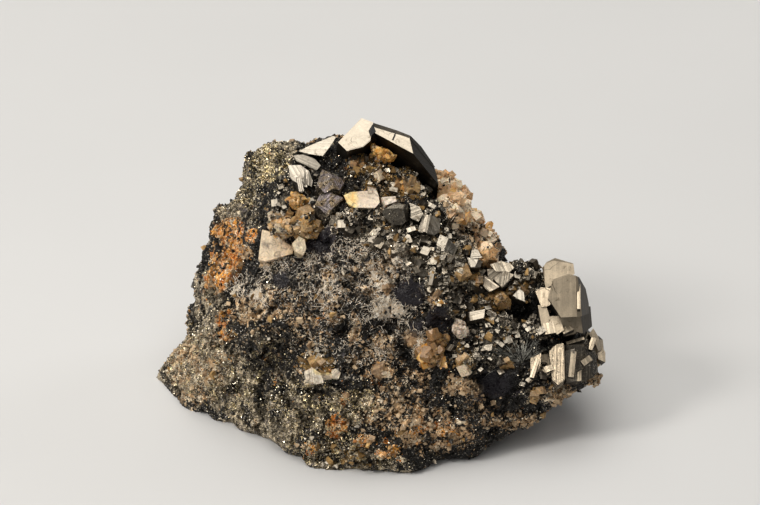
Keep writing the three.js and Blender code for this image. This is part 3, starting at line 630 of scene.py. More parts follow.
def minerals_at(place, normal):
    """Share of each mineral at points given in metres."""
    p = to_face(place)
    bend = np.stack([noise(p, 3, s, 3) for s in (11, 12)], -1) * 1.6
    front = smooth(-0.45, 0, normal @ OUT)
    out = {}
    for i, (name, patches) in enumerate(PATCHES.items()):
        seen = np.zeros(len(p))
        for across, rise, wide, high, part in patches:
            loose = p[:, :2] + bend * min(1, high / 2.5)
            seen = np.maximum(seen, part * smooth(1.5, 0.6, away(loose, across, rise, wide, high)))
        part, wave = ELSEWHERE[name]
        behind = part * smooth(-0.1, 0.25, noise(p, wave, 40 + i, 3))
        out[name] = seen * front + behind * (1 - front)
    return out


# ---- the ore ----

VOXEL, FINE_VOXEL = 0.39, 0.22  # mm, mesh size of the ore and of the carbonate bodies
CARVING = [  # grain size, step between grains, tilt, depth of the clefts between them, seed
    (3.4, 0.2, 0.15, 0.3, 3), (1.5, 0.18, 0.22, 0.22, 4), (0.8, 0.11, 0.24, 0, 5),
]
RAISED = [  # minerals that stand out: mm, share where that starts and ends, raggedness, wave, seed
    ("carbonate", 0.25, 0.35, 0.75, 0.5, 1.2, 7), ("rust", 0.16, 0.3, 0.7, 0.4, 1, 8),
]
GLOSSY_RISE, FOOT = 0.35, (0.3, 1.6)  # mm, of the glossy lumps, and where the relief fades to the flat base
REACH, MEETS, LOW, PRESSED = 1, 0.55, 0.1, 1.12  # mm, and a factor: see closed_on_crystals
GLOSSY_LUMPS = [  # smooth dark lumps: across, rise, half-width
    (-10.2, 27.4, 2.6), (4.1, 19.5, 2.5), (8.6, 15.4, 2), (17.9, 4.8, 2.6), (-16.5, 21.5, 1.5),
    (5.2, 13.7, 1.4),
]
HOLLOWS = [  # small pits: across, rise, half-width across and up, depth in mm
    (-11.4, 3.7, 3.2, 0.6, 0.8), (22.8, 16.8, 2.2, 2, 1.6), (-16.9, 41.4, 0.9, 0.7, 0.7),
    (7.2, 12.6, 1.2, 1.2, 0.7), (-14.6, 32, 1.2, 0.8, 0.8), (15, 11.4, 2, 0.8, 0.6),
    (24, 11.3, 3, 0.8, 0.6),
]


def seen_from_front(tree, across, rise):
    """The first point of some surfaces behind a place of the show face, or None."""
    return tree.ray_cast(Vector(to_world((across, rise, 80))), Vector(-OUT))[0]


def bare_copy(node):
    """The CAD node's mesh with its split corners joined."""
    bm = bmesh.new()
    bm.from_mesh(frame["nodes"][node].data)
    bmesh.ops.remove_doubles(bm, verts=bm.verts, dist=0.002 * MM)
    return bm


def tree_of(nodes):
    """The surfaces of some CAD nodes, to find points on."""
    whole = bmesh.new()
    for name in nodes:
        whole.from_mesh(frame["nodes"][name].data)
    tree = BVHTree.FromBMesh(whole)
    whole.free()
    return tree


def closed_on_crystals(place, normal, height, tree):
    """The ore's points, moved out: LOW within REACH of a crystal, and pressed on it where it MEETS."""
    moved = place + normal * (height * MM)[:, None]
    for i, point in enumerate(place):
        hit, _, _, distance = tree.find_nearest(point, REACH * MM)
        if hit is None:
            continue
        if distance < MEETS * MM:
            moved[i] = point + (np.array(hit) - point) * PRESSED
        else:
            share = (distance / MM - MEETS) / (REACH - MEETS)
            moved[i] = point + normal[i] * min(height[i], LOW) * MM * share
    moved[:, 2] = np.maximum(moved[:, 2], 0)
    return moved


def ore_mesh(tree):
    """A fine even skin over the CAD lump, broken into grains, that closes on each crystal's foot."""
    skin, place, normal = skin_of("matrix", VOXEL)
    p = to_face(place)
    minerals = minerals_at(place, normal)
    rough = 1 - 0.6 * smooth(0.4, 0.9, minerals["druse"])
    glossy = np.zeros(len(p))
    for across, rise, wide in GLOSSY_LUMPS:
        uneven = away(p, across, rise, wide, wide) + 0.25 * noise(p, 1.5, 15, 2)
        glossy = np.maximum(glossy, smooth(1.15, 0.8, uneven))
    minerals["glossy"] = glossy * smooth(-0.2, 0.2, normal @ OUT)
    rough *= 1 - 0.9 * minerals["glossy"]
    height = 0.1 * noise(p, 0.9, 6, 2)
    for size, step, tilt, cleft, seed in CARVING:
        offset, numbers, gap = grains(p + 0.25 * size * noise(p, size * 0.8, seed)[:, None], size, seed)
        height += step * (2 * numbers[:, 3] - 1) + tilt * (offset * (2 * numbers[:, :3] - 1)).sum(1)
        height -= cleft * smooth(0.3, 0, gap) * smooth(-0.2, 0.3, noise(p, 2.2 * size, seed + 1))
    for name, thick, start, end, ragged, wave, seed in RAISED:
        height += thick * smooth(start, end, minerals[name] + ragged * noise(p, wave, seed, 2))
    height = height * rough + GLOSSY_RISE * minerals["glossy"]
    for across, rise, wide, high, depth in HOLLOWS:
        height -= depth * smooth(1.3, 0.4, away(p, across, rise, wide, high))
    height *= smooth(*FOOT, place[:, 2] / MM)
    move_points(skin, closed_on_crystals(place, normal, height, tree))
    # how deep a point lies in the relief, for the painted shade in the hollows
    note(skin, hollow=smooth(0, -0.45, height), **minerals)
    return skin, minerals


# ---- crystals ----

# How the faces of each crystal look: growth lines, brownish tone, strength of the painted light, fine
# frost, sparkling rough places, and the least painted light where a face looks forward, however it leans.
USUAL_FACES = (0.3, 0.1, 1, 0, 0, 0)
FACES = {
    "crown_crystal": (0.15, 0.25, 0.86, 0, 0, 0),
    "white_plate": (0.3, 0.1, 0.9, 0, 0, 0),
    "grey_plate": (0.5, 0.1, 1, 0.6, 0, 0),
    "striated_plates": (0.9, 0.1, 0.95, 0.8, 0, 0),
    "tarnished_crystals": (1, 0.1, 0.72, 0.7, 0.75, 0),
    "pale_plate_left": (0.25, 0.1, 1, 0, 0, 0),
    "pale_plate_right": (0.35, 0.1, 1, 0, 0, 0),
    "pale_block_crystal": (0.5, 0.1, 1, 0, 0, 0),
    "foot_crystals": (1, 0.1, 1, 0, 0, 0),
    "dark_rhomb_crystal": (0.4, 0.1, 0.35, 0, 0.5, 0),
    "striated_prisms": (1, 0.3, 1, 0.5, 0.3, 0),
    "slope_crystal": (0.3, 0.1, 1, 0, 0.4, 0),
    "step_crystal": (0.6, 0.1, 1, 0.4, 0.3, 0),
    "twinned_crystal": (1, 0.5, 1, 0.9, 0, 0.8),
    "rhomb_crystal": (0.3, 0.3, 1, 0.4, 0, 0),
    "wedge_plate": (0.5, 0.1, 1, 0.4, 0, 0),
    "right_cluster": (0.14, 0.9, 0.85, 0.45, 0, 0),
    "lower_blades": (0.8, 1, 1, 0.9, 0.6, 0),
    "corner_crystal": (0.7, 0.1, 0.5, 0, 0.4, 0),
    "edge_crystals": (0.5, 0.9, 1, 0.8, 0, 0.4),
}
BEVEL = {"crown_crystal": 0.22, "right_cluster": 0.16}  # mm, where the edges are cut wider than usual
USUAL_BEVEL = 0.09
SHARP, LEAST_SHARP = math.radians(12), 0.35 * MM  # edges bent more and longer than this are cut
FLAT = math.radians(1.5)  # faces that lie this level with one another are one
LEAST_STEPPED = 1.5  # mm2, the smallest face with growth steps
STEP_WIDTH, STEP_RISE, FINE, COARSER = (0.15, 0.8), (0.03, 0.11), 0.3, 3.5  # mm, and see growth_steps
STEP_FOOT = 0.05  # mm that a growth step reaches into its face
STAINABLE = 0.6 * MM  # edges longer than this are divided where stains show


def lustre_of(normals):
    """Painted light and shade: faces that look up and forward are painted bright, sides and undersides
    dark.
    """
    tilt = np.degrees(np.arcsin(np.clip(normals @ RISE, -1, 1)))
    turn = np.degrees(np.arctan2(normals @ ACROSS, normals @ OUT))
    turn = np.where(turn > 0, 1.2 * turn, -turn)  # the right sides get the deeper painted shade
    behind = smooth(0, -0.35, normals @ OUT) * (0.3 + 0.6 * smooth(-0.2, 0.7, normals[..., 2]))
    return np.maximum(smooth(-16, 2, tilt) * smooth(68, 40, turn), behind)


def cut_ring(ring, axis, low, high):
    """The part of a flat ring between two values of one coordinate."""
    for limit, side in ((low, 1), (high, -1)):
        kept = []
        for a, b in zip(ring, ring[1:] + ring[:1]):
            far_a, far_b = side * (a[axis] - limit), side * (b[axis] - limit)
            if far_a >= 0:
                kept.append(a)
            if far_a * far_b < 0:
                t = far_a / (far_a - far_b)
                kept.append(tuple(a[i] + (b[i] - a[i]) * t for i in (0, 1)))
        ring = kept
    return ring


def growth_steps(bm, plates, strength, random):
    """Low closed slabs laid side by side over the flat faces, across their growth lines.

    Where the lines are weaker than FINE the slabs are COARSER times as wide.
    """
    for normal, side, heart, ring in plates:
        along = normal.cross(side)
        start, stop = min(u for u, _ in ring), max(u for u, _ in ring)
        while start < stop:
            wide = random.uniform(*STEP_WIDTH) * (1 if strength > FINE else COARSER)
            strip = cut_ring(ring, 0, start, start + wide)
            start += wide
            chosen, rise, end = random.random(), random.uniform(*STEP_RISE), random.random()
            rise *= min(1, strength + 0.2)
            if chosen > 0.25 + 0.5 * strength or len(strip) < 3:
                continue
            low, high = min(w for _, w in strip), max(w for _, w in strip)
            if end < 0.5:
                strip = cut_ring(strip, 1, low + (high - low) * end, high)
            elif end < 0.75:
                strip = cut_ring(strip, 1, low, high - (high - low) * (end - 0.5))
            if len(strip) < 3:
                continue
            rings = [[bm.verts.new(heart + (side * u + along * w + normal * lift) * MM) for u, w in strip]
                     for lift in (-STEP_FOOT, rise)]
            bm.faces.new(rings[1])
            bm.faces.new(rings[0][::-1])
            for i in range(len(strip)):
                j = (i + 1) % len(strip)
                bm.faces.new((rings[0][i], rings[0][j], rings[1][j], rings[1][i]))


UPRIGHT = ["right_cluster", "lower_blades", "corner_crystal", "edge_crystals"]


def growth_line(face, upright):
    """The direction of a face's growth lines: up the specimen, or along its longest edge."""
    if upright and abs(face.normal.dot(Vector(RISE))) < 0.9:
        return (Vector(RISE) - face.normal * face.normal.dot(Vector(RISE))).normalized()
    return longest_edge(face)


def kind_of(face):
    return tuple(round(c * 6) for c in face.normal)


def flat_faces(bm, upright):
    """Normal, direction across the growth lines, middle and drawn-in ring of each large convex face."""
    found = []
    for f in bm.faces:
        if f.calc_area() < LEAST_STEPPED * MM**2:
            continue
        along = growth_line(f, upright)
        normal, heart = f.normal.copy(), f.calc_center_median()
        side = along.cross(normal)
        along = normal.cross(side)
        ring = [((v.co - heart).dot(side) / MM, (v.co - heart).dot(along) / MM) for v in f.verts]
        turns_left = [(b[0] - a[0]) * (c[1] - b[1]) - (b[1] - a[1]) * (c[0] - b[0]) > -0.01
                      for a, b, c in zip(ring, ring[1:] + ring[:1], ring[2:] + ring[:2])]
        if all(turns_left):
            found.append((normal, side, heart, [(u * 0.94, w * 0.94) for u, w in ring]))
    return found


# How much of each pale or coloured grain is orange, and how much is cream.
AMBER_SHARE = {"orange_crystal": 1, "crown_carbonates": 1, "honey_carbonates": 0.3, "honey_crystal": 0.2,
               "amber_crystals": 0.25, "ridge_carbonates": 0.06, "peach_crystal": 0.15}
CREAM_SHARE = {"honey_carbonates": 0.25, "carbonate_plate": 0.55, "ridge_carbonates": 0.7,
               "pale_block_crystal": 0.5, "amber_crystals": 0.1, "crown_carbonates": 0.1,
               "foot_crystals": 0.6, "pale_plate_left": 0.3, "peach_crystal": 0.2}
STAINS = [  # coloured areas on the pale crystals: across, rise, half-widths, amber, dark
    (-6.4, 34.6, 1.9, 2.4, 0.95, 0), (-19.2, 27.3, 0.55, 0.6, 0, 0.7), (17.6, 28.6, 2.4, 0.8, 0.5, 0),
    (-9.9, 7.2, 1.4, 0.9, 0.8, 0), (-17.3, 32.4, 1.6, 1, 0, 0.75), (-14.3, 30.6, 0.45, 1.8, 0, 0.8),
    (-16.3, 30, 1.8, 1.1, 0.35, 0), (-13.8, 26.9, 1.7, 2.4, 0.35, 0.22),
]


def stain(mesh, node, numbers=None):
    """How orange and how dark each point of a carbonate or quartz crystal is."""
    p = to_face(vectors_of(mesh.vertices, "co"))
    amber, dark = np.full(len(p), AMBER_SHARE.get(node, 0), float), np.zeros(len(p))
    if numbers is not None:
        amber *= 0.3 + 1.4 * numbers
    amber += amber * 0.6 * noise(p, 2.4, seed_of(node), 2)
    for *area, more_amber, more_dark in STAINS:
        near = smooth(1.2, 0.95, away(p, *area) + 0.15 * noise(p, 1, 9))
        amber, dark = np.maximum(amber, more_amber * near), np.maximum(dark, more_dark * near)
    note(mesh, amber=np.clip(amber, 0, 1))
    return dark


def crystal_piece(node, material, slot):
    """A CAD crystal with worn edges and growth steps; each face knows its painted light and shade, and its
    growth lines.
    """
    bm = bare_copy(node)
    random = np.random.default_rng(seed_of(node))
    bmesh.ops.dissolve_limit(bm, angle_limit=FLAT, verts=bm.verts, edges=bm.edges)
    in_order(bm)
    lines, warm, bright, satin, etched, least_lustre = FACES.get(node, USUAL_FACES)
    upright = node in UPRIGHT
    plates = flat_faces(bm, upright)
    sharp = [e for e in bm.edges if len(e.link_faces) == 2 and e.calc_face_angle(0) > SHARP
             and e.calc_length() > LEAST_SHARP]
    bmesh.ops.bevel(bm, geom=sharp, offset=BEVEL.get(node, USUAL_BEVEL) * MM, offset_type="OFFSET",
                    segments=1, affect="EDGES", clamp_overlap=True)
    in_order(bm)
    growth_steps(bm, plates, lines, random)
    bmesh.ops.triangulate(bm, faces=[f for f in bm.faces if len(f.verts) > 4])
    pale = slot in ("pale_gangue", "carbonate")
    if pale:  # room for the stains between the corners
        bmesh.ops.subdivide_edges(bm, edges=[e for e in bm.edges if e.calc_length() > STAINABLE], cuts=5,
                                  use_grid_fill=True)
        bmesh.ops.triangulate(bm, faces=bm.faces)
    in_order(bm)
    mesh = bpy.data.meshes.new(node + "_faces")
    across, lustre, kinds = [], [], {}  # a kind is the faces that look nearly the same way
    for f in sorted(bm.faces, key=lambda f: -round(f.calc_area() / MM**2 * 1e3)):
        if kind_of(f) not in kinds:
            # Painted light: each kind of face is painted bright or dark by how it is turned to the lamps.
            shine = float(lustre_of(np.array(f.normal))) * random.uniform(0.75, 1) * bright
            shine = max(shine, least_lustre * float(smooth(0.15, 0.45, np.array(f.normal) @ OUT)))
            kinds[kind_of(f)] = (f.normal.cross(growth_line(f, upright)), shine)
    for f in bm.faces:
        f.smooth = False
        side, shine = kinds[kind_of(f)]
        across += [side.dot(corner.vert.co) / MM for corner in f.loops]
        lustre.append(shine)
    bm.to_mesh(mesh)
    bm.free()
    note(mesh, "FACE", lustre=lustre, lines=lines, warm=warm, satin=satin, etched=etched)
    note(mesh, "CORNER", across=across)
    if pale:
        note(mesh, dark=stain(mesh, node), tint=random.uniform(0.4, 0.9), cream=CREAM_SHARE.get(node, 0))
    return stand_in(node, node + "_faces", mesh, material)


INTERGROWN = {"peach_crystal": 3, "beige_quartz": 0.9, "honey_crystal": 1.8, "honey_carbonates": 1.9,
              "orange_crystal": 1.3, "amber_crystals": 2}  # mm, size of the crystals a node is grown from
USUAL_INTERGROWN = 1.4
CLEAVAGE_WIDTH, CLEAVAGE_STEP, CLEFT_DEPTH = 0.8, 0.09, 0.22  # mm, on each of these crystals


def gangue_piece(node, material, slot):
    """Intergrown carbonate or quartz crystals over a CAD form, each with its own tilt and shade."""
    skin, place, normal = skin_of(node, FINE_VOXEL)
    p = to_face(place)
    seed = seed_of(node)
    random = np.random.default_rng(seed)
    size = INTERGROWN.get(node, USUAL_INTERGROWN)
    offset, numbers, gap = grains(p + 0.1 * size * noise(p, size, seed)[:, None], size, seed)
    level = (offset * unit(2 * numbers[:, :3] - 1)).sum(1)
    height = 0.4 * level + 0.16 * size * (numbers[:, 3] - 0.5) + 0.03 * noise(p, 0.5, seed + 1, 2)
    ledge = (p @ unit(random.normal(size=3))) / CLEAVAGE_WIDTH
    height += CLEAVAGE_STEP * (ledge % 1 - 0.5) * smooth(-0.3, 0.2, noise(p, 2, seed + 2))
    cleft = smooth(0.22, 0, gap)
    height -= CLEFT_DEPTH * cleft
    move_points(skin, place + normal * (height * MM)[:, None])
    # The clefts between grains get painted shade, besides being cut in.
    dark = np.maximum(stain(skin, node, numbers[:, 1]), 0.8 * cleft * (numbers[:, 2] > 0.3))
    note(skin, dark=dark, tint=numbers[:, 0], cream=0.85 * (numbers[:, 2] < CREAM_SHARE.get(node, 0)))
    return stand_in(node, node + "_body", skin, material)


# ---- small grains and threads ----


SHAPES = 6  # shapes of each kind of grain


def shapes(kind):
    """A few convex grain shapes of about unit size."""
    random = np.random.default_rng(len(kind) * 17 + ord(kind[0]))
    made = []
    for _ in range(SHAPES):
        if kind == "lump":
            p = unit(random.normal(size=(9, 3))) * 0.5 * random.uniform(0.8, 1.1, (9, 1))
        elif kind == "spark":  # an uneven eight-faced grain
            p = np.vstack([np.eye(3), -np.eye(3)]) * random.uniform(0.3, 0.6, (6, 1))
        elif kind == "tetra":  # tetrahedron with its corners cut, as tennantite grows
            base = np.array([(1, 1, 1), (1, -1, -1), (-1, 1, -1), (-1, -1, 1)]) * 0.42
            cut = random.uniform(0.12, 0.32, (4, 4))
            p = np.array([base[i] + (base[j] - base[i]) * cut[i, j]
                          for i, j in itertools.permutations(range(4), 2)])
        else:  # block with a cut corner, or rhomb
            lean = 0.35 if kind == "rhomb" else 0.0
            half = random.uniform(0.28, 0.5, 3)
            p = np.array(list(itertools.product((-1, 1), repeat=3))) * half
            p[:, 0] += lean * p[:, 1] + 0.5 * lean * p[:, 2]
            if kind == "block":
                corner = int(random.integers(8))
                cuts = p[corner] - np.diag(np.sign(p[corner]) * half * random.uniform(0.5, 1.2, 3))
                p = np.vstack([np.delete(p, corner, 0), cuts])
        made.append(hull(p))
    return made


def turns(random, count):
    """Random rotations as 3 by 3 matrices."""
    w, x, y, z = unit(random.normal(size=(count, 4))).T
    return np.stack([1 - 2 * (y * y + z * z), 2 * (x * y - w * z), 2 * (x * z + w * y),
                     2 * (x * y + w * z), 1 - 2 * (x * x + z * z), 2 * (y * z - w * x),
                     2 * (x * z - w * y), 2 * (y * z + w * x), 1 - 2 * (x * x + y * y)],
                    -1).reshape(-1, 3, 3)


def aimed(turn, face_normal, aim):
    """The same rotations, turned on so that one face of each grain looks along its aim."""
    now = turn @ face_normal
    half = unit(now + aim)
    flip = 2 * half[:, :, None] * half[:, None, :] - np.eye(3)
    return flip @ turn


class Ground:
    """A finished surface of one or more pieces, for sowing grains on."""

    def __init__(self, pieces, minerals=None, crystals=None):
        self.place = np.concatenate([vectors_of(piece.data.vertices, "co") for piece in pieces])
        self.normal = np.concatenate([vectors_of(piece.data.vertex_normals) for piece in pieces])
        starts = np.cumsum([0] + [len(piece.data.vertices) for piece in pieces])
        self.tri = np.concatenate([triangles_of(piece.data) + s for piece, s in zip(pieces, starts)])
        a, b, c = (self.place[self.tri[:, i]] for i in range(3))
        self.area = np.linalg.norm(np.cross(b - a, c - a), axis=1) / 2
        self.crystals = crystals
        self.tree = BVHTree.FromPolygons([Vector(p) for p in self.place], self.tri.tolist())
        self.open = (self.place[:, 2] > 0.5 * MM).astype(float)
        if minerals:
            self.open *= (1 - 0.9 * smooth(0.5, 0.9, minerals["soot_and_shade"])) * (1 - 0.93 * minerals["glossy"])
        self.front = smooth(-0.2, 0.3, self.normal @ OUT)

    def spots(self, weight, count, random):
        share = self.area * np.clip(weight * self.open, 0, None)[self.tri].mean(1)
        pick = self.tri[random.choice(len(self.tri), count, p=share / share.sum())]
        u, v = random.random((2, count))
        u, v = np.where(u + v > 1, 1 - u, u), np.where(u + v > 1, 1 - v, v)
        mix = np.stack([1 - u - v, u, v], 1)[:, :, None]
        return (self.place[pick] * mix).sum(1), unit((self.normal[pick] * mix).sum(1))

    def under(self, across, rise):
        return seen_from_front(self.tree, across, rise)


BRIGHT = unit(OUT * COS + RISE * SIN)  # faces that look this way catch the overhead light
AIM_SPREAD = 0.22  # how loosely the faces turned to the light are aimed
STAND_OUT = 0.5  # mm a grain may reach out of the CAD box
CLEARANCE = 0.28  # of a grain's size, its least distance from a CAD crystal
STRETCH = (0.7, 1.3)  # of a grain along each of its axes
LOWEST = 0.02  # mm above the floor that no grain goes under
ETCHED, ETCHING = 0.55, 0.9  # share of the metal grains that are etched, and how much
LEAST_GRAIN_LIGHT, FILMED, FILMED_LIGHT = 0.14, 0.2, 0.12  # least painted light, share under a dark film, painted light there


def within(ground, spots):
    """1 on the front within some round spots, each given as across, rise and half-width."""
    p = to_face(ground.place)
    inside = [smooth(1, 0.8, away(p, across, rise, wide, wide)) for across, rise, wide in spots]
    return np.max(inside, axis=0) * ground.front


def widest_face(points, triangles):
    """Which way the largest face of a solid looks."""
    a, b, c = (points[triangles[:, i]] for i in range(3))
    crosses = np.cross(b - a, c - a)
    return unit(crosses[np.argmax(np.linalg.norm(crosses, axis=1))])


def copies(points, triangles, turn, size, heart):
    """Turned copies of a solid, each of its own stretched points, size in mm and heart."""
    body = np.einsum("nij,nvj->nvi", turn, points) * (size * MM)[:, None, None] + heart[:, None]
    body[..., 2] = np.maximum(body[..., 2], LOWEST * MM)
    all_triangles = triangles[None] + np.arange(len(turn))[:, None, None] * points.shape[1]
    return body.reshape(-1, 3), all_triangles.reshape(-1, 3)


def strew(name, kind, ground, weight, count, size_mm, seed, faced, look, slot, sink=0.25, power=2.4,
          cream=0.4, amber=0.06):
    """Grains of one mineral, many small closed solids in one mesh, part sunk in the ground.

    They grow where weight says. A share of those in front, faced, turns its widest face to the light,
    and the higher the power, the fewer of them are large. Cream and amber are shares of them too.
    """
    random = np.random.default_rng(seed)
    place, normal = ground.spots(weight, count, random)
    size = size_mm[0] + (size_mm[1] - size_mm[0]) * random.random(count) ** power
    keep = np.full(count, True)
    if ground.crystals:
        keep = np.array([(ground.crystals.find_nearest(p)[3] or 0) / MM for p in place]) > CLEARANCE * size
    heart = place + normal * (size * (0.5 - sink) * 0.5 * MM)[:, None]
    reach = (0.5 * size[:, None] - STAND_OUT) * MM
    keep &= np.all((heart - reach > cad_box[0]) & (heart + reach < cad_box[1]), axis=1)
    place, normal, size, heart = place[keep], normal[keep], size[keep], heart[keep]
    count = len(place)
    turn, stretch = turns(random, count), random.uniform(*STRETCH, (count, 1, 3))
    pick = random.integers(SHAPES, size=count)
    faces_light = random.random(count) < faced * (normal @ OUT > 0)
    solids, own, across, etched, hearts = [], [], [], [], []
    for k, (points, triangles) in enumerate(shapes(kind)):
        mine = pick == k
        n = int(mine.sum())
        aim = unit(BRIGHT + AIM_SPREAD * random.normal(size=(n, 3)))
        toward = aimed(turn[mine], widest_face(points, triangles), aim)
        turned = np.where(faces_light[mine][:, None, None], toward, turn[mine])
        solids.append(copies(points * stretch[mine], triangles, turned, size[mine], heart[mine]))
        across.append(np.broadcast_to((points[:, 0] * 1.5)[triangles], (n, *triangles.shape)).reshape(-1))
        own.append((random.random((n, 1)) * 0.6 + random.random((n, len(triangles))) * 0.4).reshape(-1))
        etched.append(np.repeat(ETCHING * (random.random(n) < ETCHED), len(triangles)))
        hearts.append(np.repeat(random.random(n), len(triangles)))
    made = joined(name, solids)
    own, hearts = np.concatenate(own), np.concatenate(hearts)
    note(made.data, "FACE", tint=own)
    if slot in ("honey", "carbonate"):
        note(made.data, "FACE", cream=0.8 * (hearts > 1 - cream), amber=0.7 * (hearts < amber))
    if slot == "tennantite":
        # Painted light on the metal grains, by how each face is turned.
        shine = np.maximum(lustre_of(vectors_of(made.data.polygon_normals)), LEAST_GRAIN_LIGHT)
        shine *= (0.5 + 0.5 * own) * np.where(hearts < FILMED, FILMED_LIGHT, 1)
        note(made.data, "FACE", lustre=shine, lines=own, warm=own * 0.6, satin=0.12,
             etched=np.concatenate(etched))
        note(made.data, "CORNER", across=np.concatenate(across))
    return dress(made, look)


AROUND = [(math.cos(a), math.sin(a)) for a in (0.5, 2.6, 4.7)]  # corners of a thread's section


def tubes(name, paths, radius_mm, look):
    """Thin closed three-sided threads along rows of points in metres."""
    last = len(paths[0]) - 1
    end = 3 * last
    faces = []
    for i in range(last):
        for j in range(3):
            a, b = 3 * i + j, 3 * i + (j + 1) % 3
            faces += [(a, b, b + 3), (a, b + 3, a + 3)]
    faces = np.array(faces + [(0, 2, 1), (end, end + 1, end + 2)])
    thin = 1 - 0.7 * np.abs(2 * np.arange(last + 1) / last - 1) ** 3
    solids = []
    for path, radius in zip(np.array(paths), radius_mm):
        ahead = unit(np.gradient(path, axis=0))
        side = unit(np.cross(ahead, OUT))
        up = np.cross(side, ahead)
        rings = [path + (side * c + up * s) * (radius * MM * thin)[:, None] for c, s in AROUND]
        solids.append((np.stack(rings, 1).reshape(-1, 3), faces))
    made = joined(name, solids)
    shades = np.random.default_rng(3).random(len(made.data.polygons) // 4 + 1)
    note(made.data, "FACE", tint=np.repeat(shades, 4)[:len(made.data.polygons)])
    return dress(made, look)


THREADS, THREAD_POINTS, THREAD_LIFT = 5400, 6, 0.08  # how many, points in each, mm above the ore
THREAD_STEP, THREAD_RADIUS = (0.08, 0.34), (0.016, 0.045)  # mm


def white_threads(ground, weight):
    """Mats of curled hair-thin white threads that lie on the charcoal face."""
    random = np.random.default_rng(71)
    place, normal = ground.spots(weight, THREADS, random)
    paths, radii = [], []
    for point, out in zip(place, normal):
        heading = unit(np.cross(out, random.normal(size=3)))
        step, curl = random.uniform(*THREAD_STEP) * MM, random.normal() * 0.45
        path = []
        for _ in range(THREAD_POINTS):
            hit, facing, _, _ = ground.tree.find_nearest(Vector(point))
            point = np.array(hit) + np.array(facing) * THREAD_LIFT * MM
            path.append(point)
            heading = unit(heading + curl * np.cross(np.array(facing), heading))
            point = point + heading * step
        paths.append(path)
        radii.append(random.uniform(*THREAD_RADIUS))
    look = grain_look("white_threads", (0.66, 0.51, 0.34), (1, 0.95, 0.85))
    return tubes("white_threads", paths, radii, look)


FAN = (22.3, 8.2)  # where the dark needles start: across and rise
NEEDLES, NEEDLE_POINTS, NEEDLE_RADIUS = 220, 7, (0.025, 0.05)  # how many, points in each, mm
NEEDLE_LIFT, GAP_CROSSED = 0.12, 0.8  # mm; a needle that would step up or down further is left out


def needle_fan(ground):
    """Dark metallic needles that radiate over the druse at the right end."""
    random = np.random.default_rng(72)
    paths, radii = [], []
    for _ in range(NEEDLES):
        angle, long = random.uniform(-0.7, 3.5), random.uniform(2.5, 8.0)
        start, bend = random.uniform(0.2, 3.0), random.normal() * 0.1
        path = []
        for t in np.linspace(0, 1, NEEDLE_POINTS):
            r = start + (long - start) * t
            a = angle + bend * t * t
            seat = ground.under(FAN[0] + r * math.cos(a), FAN[1] + 0.7 * r * math.sin(a))
            if seat is not None:
                path.append(np.array(seat) + OUT * NEEDLE_LIFT * MM)
        depth = np.array([q @ OUT for q in path])
        if len(path) == NEEDLE_POINTS and np.abs(np.diff(depth)).max() < GAP_CROSSED * MM:
            paths.append(path)
            radii.append(random.uniform(*NEEDLE_RADIUS))
    look = grain_look("needle_fan", (0.03, 0.03, 0.027), (0.42, 0.41, 0.36), 0.9, 0.3)
    return tubes("needle_fan", paths, radii, look)


CHIP = (0.1, -0.6)  # mm that a dark chip stands out of the crown, and lies in it
SHADE_AND_CRACKS = [  # outlines of the black chips on the crown, across and rise: painted shade where its bodies meet, and a crack
    [(-1.9, 46.7), (-2.6, 45.6), (-2.3, 44.7), (-1.9, 43.4), (-1.1, 44.2), (-1.4, 45.6)],
    [(1.85, 45.1), (1.65, 45.2), (1.2, 44.2), (1.45, 44.1)],
]


def crown_shade_and_cracks(look):
    """Thin black chips let into the crown: painted shade where its two bodies meet, and a crack across its
    roof.
    """
    crown, solids = tree_of(["crown_crystal"]), []
    for outline in SHADE_AND_CRACKS:
        corners = []
        for across, rise in outline:
            hit = seen_from_front(crown, across, rise)
            if hit is not None:
                corners += [np.array(hit) + OUT * lift * MM for lift in CHIP]
        solids.append(hull(corners))
    made = joined("crown_shade_and_cracks", solids)
    note(made.data, "FACE", tint=0)
    return dress(made, look)


BLADES = [  # bright blades and facets that stand on the crystals at the right end, in the same terms
    (24.4, 7.4, 0.7, 4.4, -12), (26.4, 7.1, 1.4, 1, 20), (30.3, 7.8, 0.9, 4.4, -8),
    (32.6, 8.4, 1.8, 1, 35), (30.9, 11.4, 3, 0.6, 22), (29.4, 13.4, 1.9, 1.5, 30), (31.6, 6, 0.7, 2.6, 5),
    (26.6, 13.6, 1.8, 2, 10), (33.6, 11, 0.8, 2.2, -20), (31.3, 18.8, 0.5, 5.6, -3),
]
PLATELETS = [  # bright little faces among the druse: across, rise, long, wide, turn in degrees
    (15.8, 11.5, 1, 0.8, 20), (18.4, 11.3, 1.9, 0.7, -40), (19.8, 11.8, 1.4, 1, 15),
    (14.8, 8.9, 1.1, 0.6, -20), (11.7, 9.1, 1.5, 0.7, 10), (18.7, 6.5, 1, 1, 30),
    (11.9, 18, 1.5, 1.2, -10), (20.5, 20, 0.9, 0.7, 0), (23.2, 13.4, 0.9, 0.7, 35),
    (16.6, 14, 0.8, 0.8, 10), (12.3, 12.9, 1.3, 1, -30), (13, 7.5, 0.9, 0.8, 0), (17, 8.8, 1.1, 0.7, 60),
    (15.4, 6.9, 0.8, 0.6, 45), (21.4, 12.4, 0.8, 1.2, 5), (9.6, 20.5, 1.2, 0.8, 35),
    (6.6, 26.5, 1.6, 0.8, -25), (4.3, 29.5, 1.4, 0.8, 20), (14.2, 24.2, 1.1, 0.9, -15),
    (2.2, 31.5, 1.2, 0.7, 30), (10.2, 28.4, 1.3, 0.9, 5), (-12, 34.2, 1.2, 0.8, 20),
    (-13.4, 30.6, 1.6, 1.1, -15), (7.5, 33.3, 1.5, 0.8, -35),
]


PLATELET_THICK, PLATELET_LIFT = 0.7, 0.15  # mm


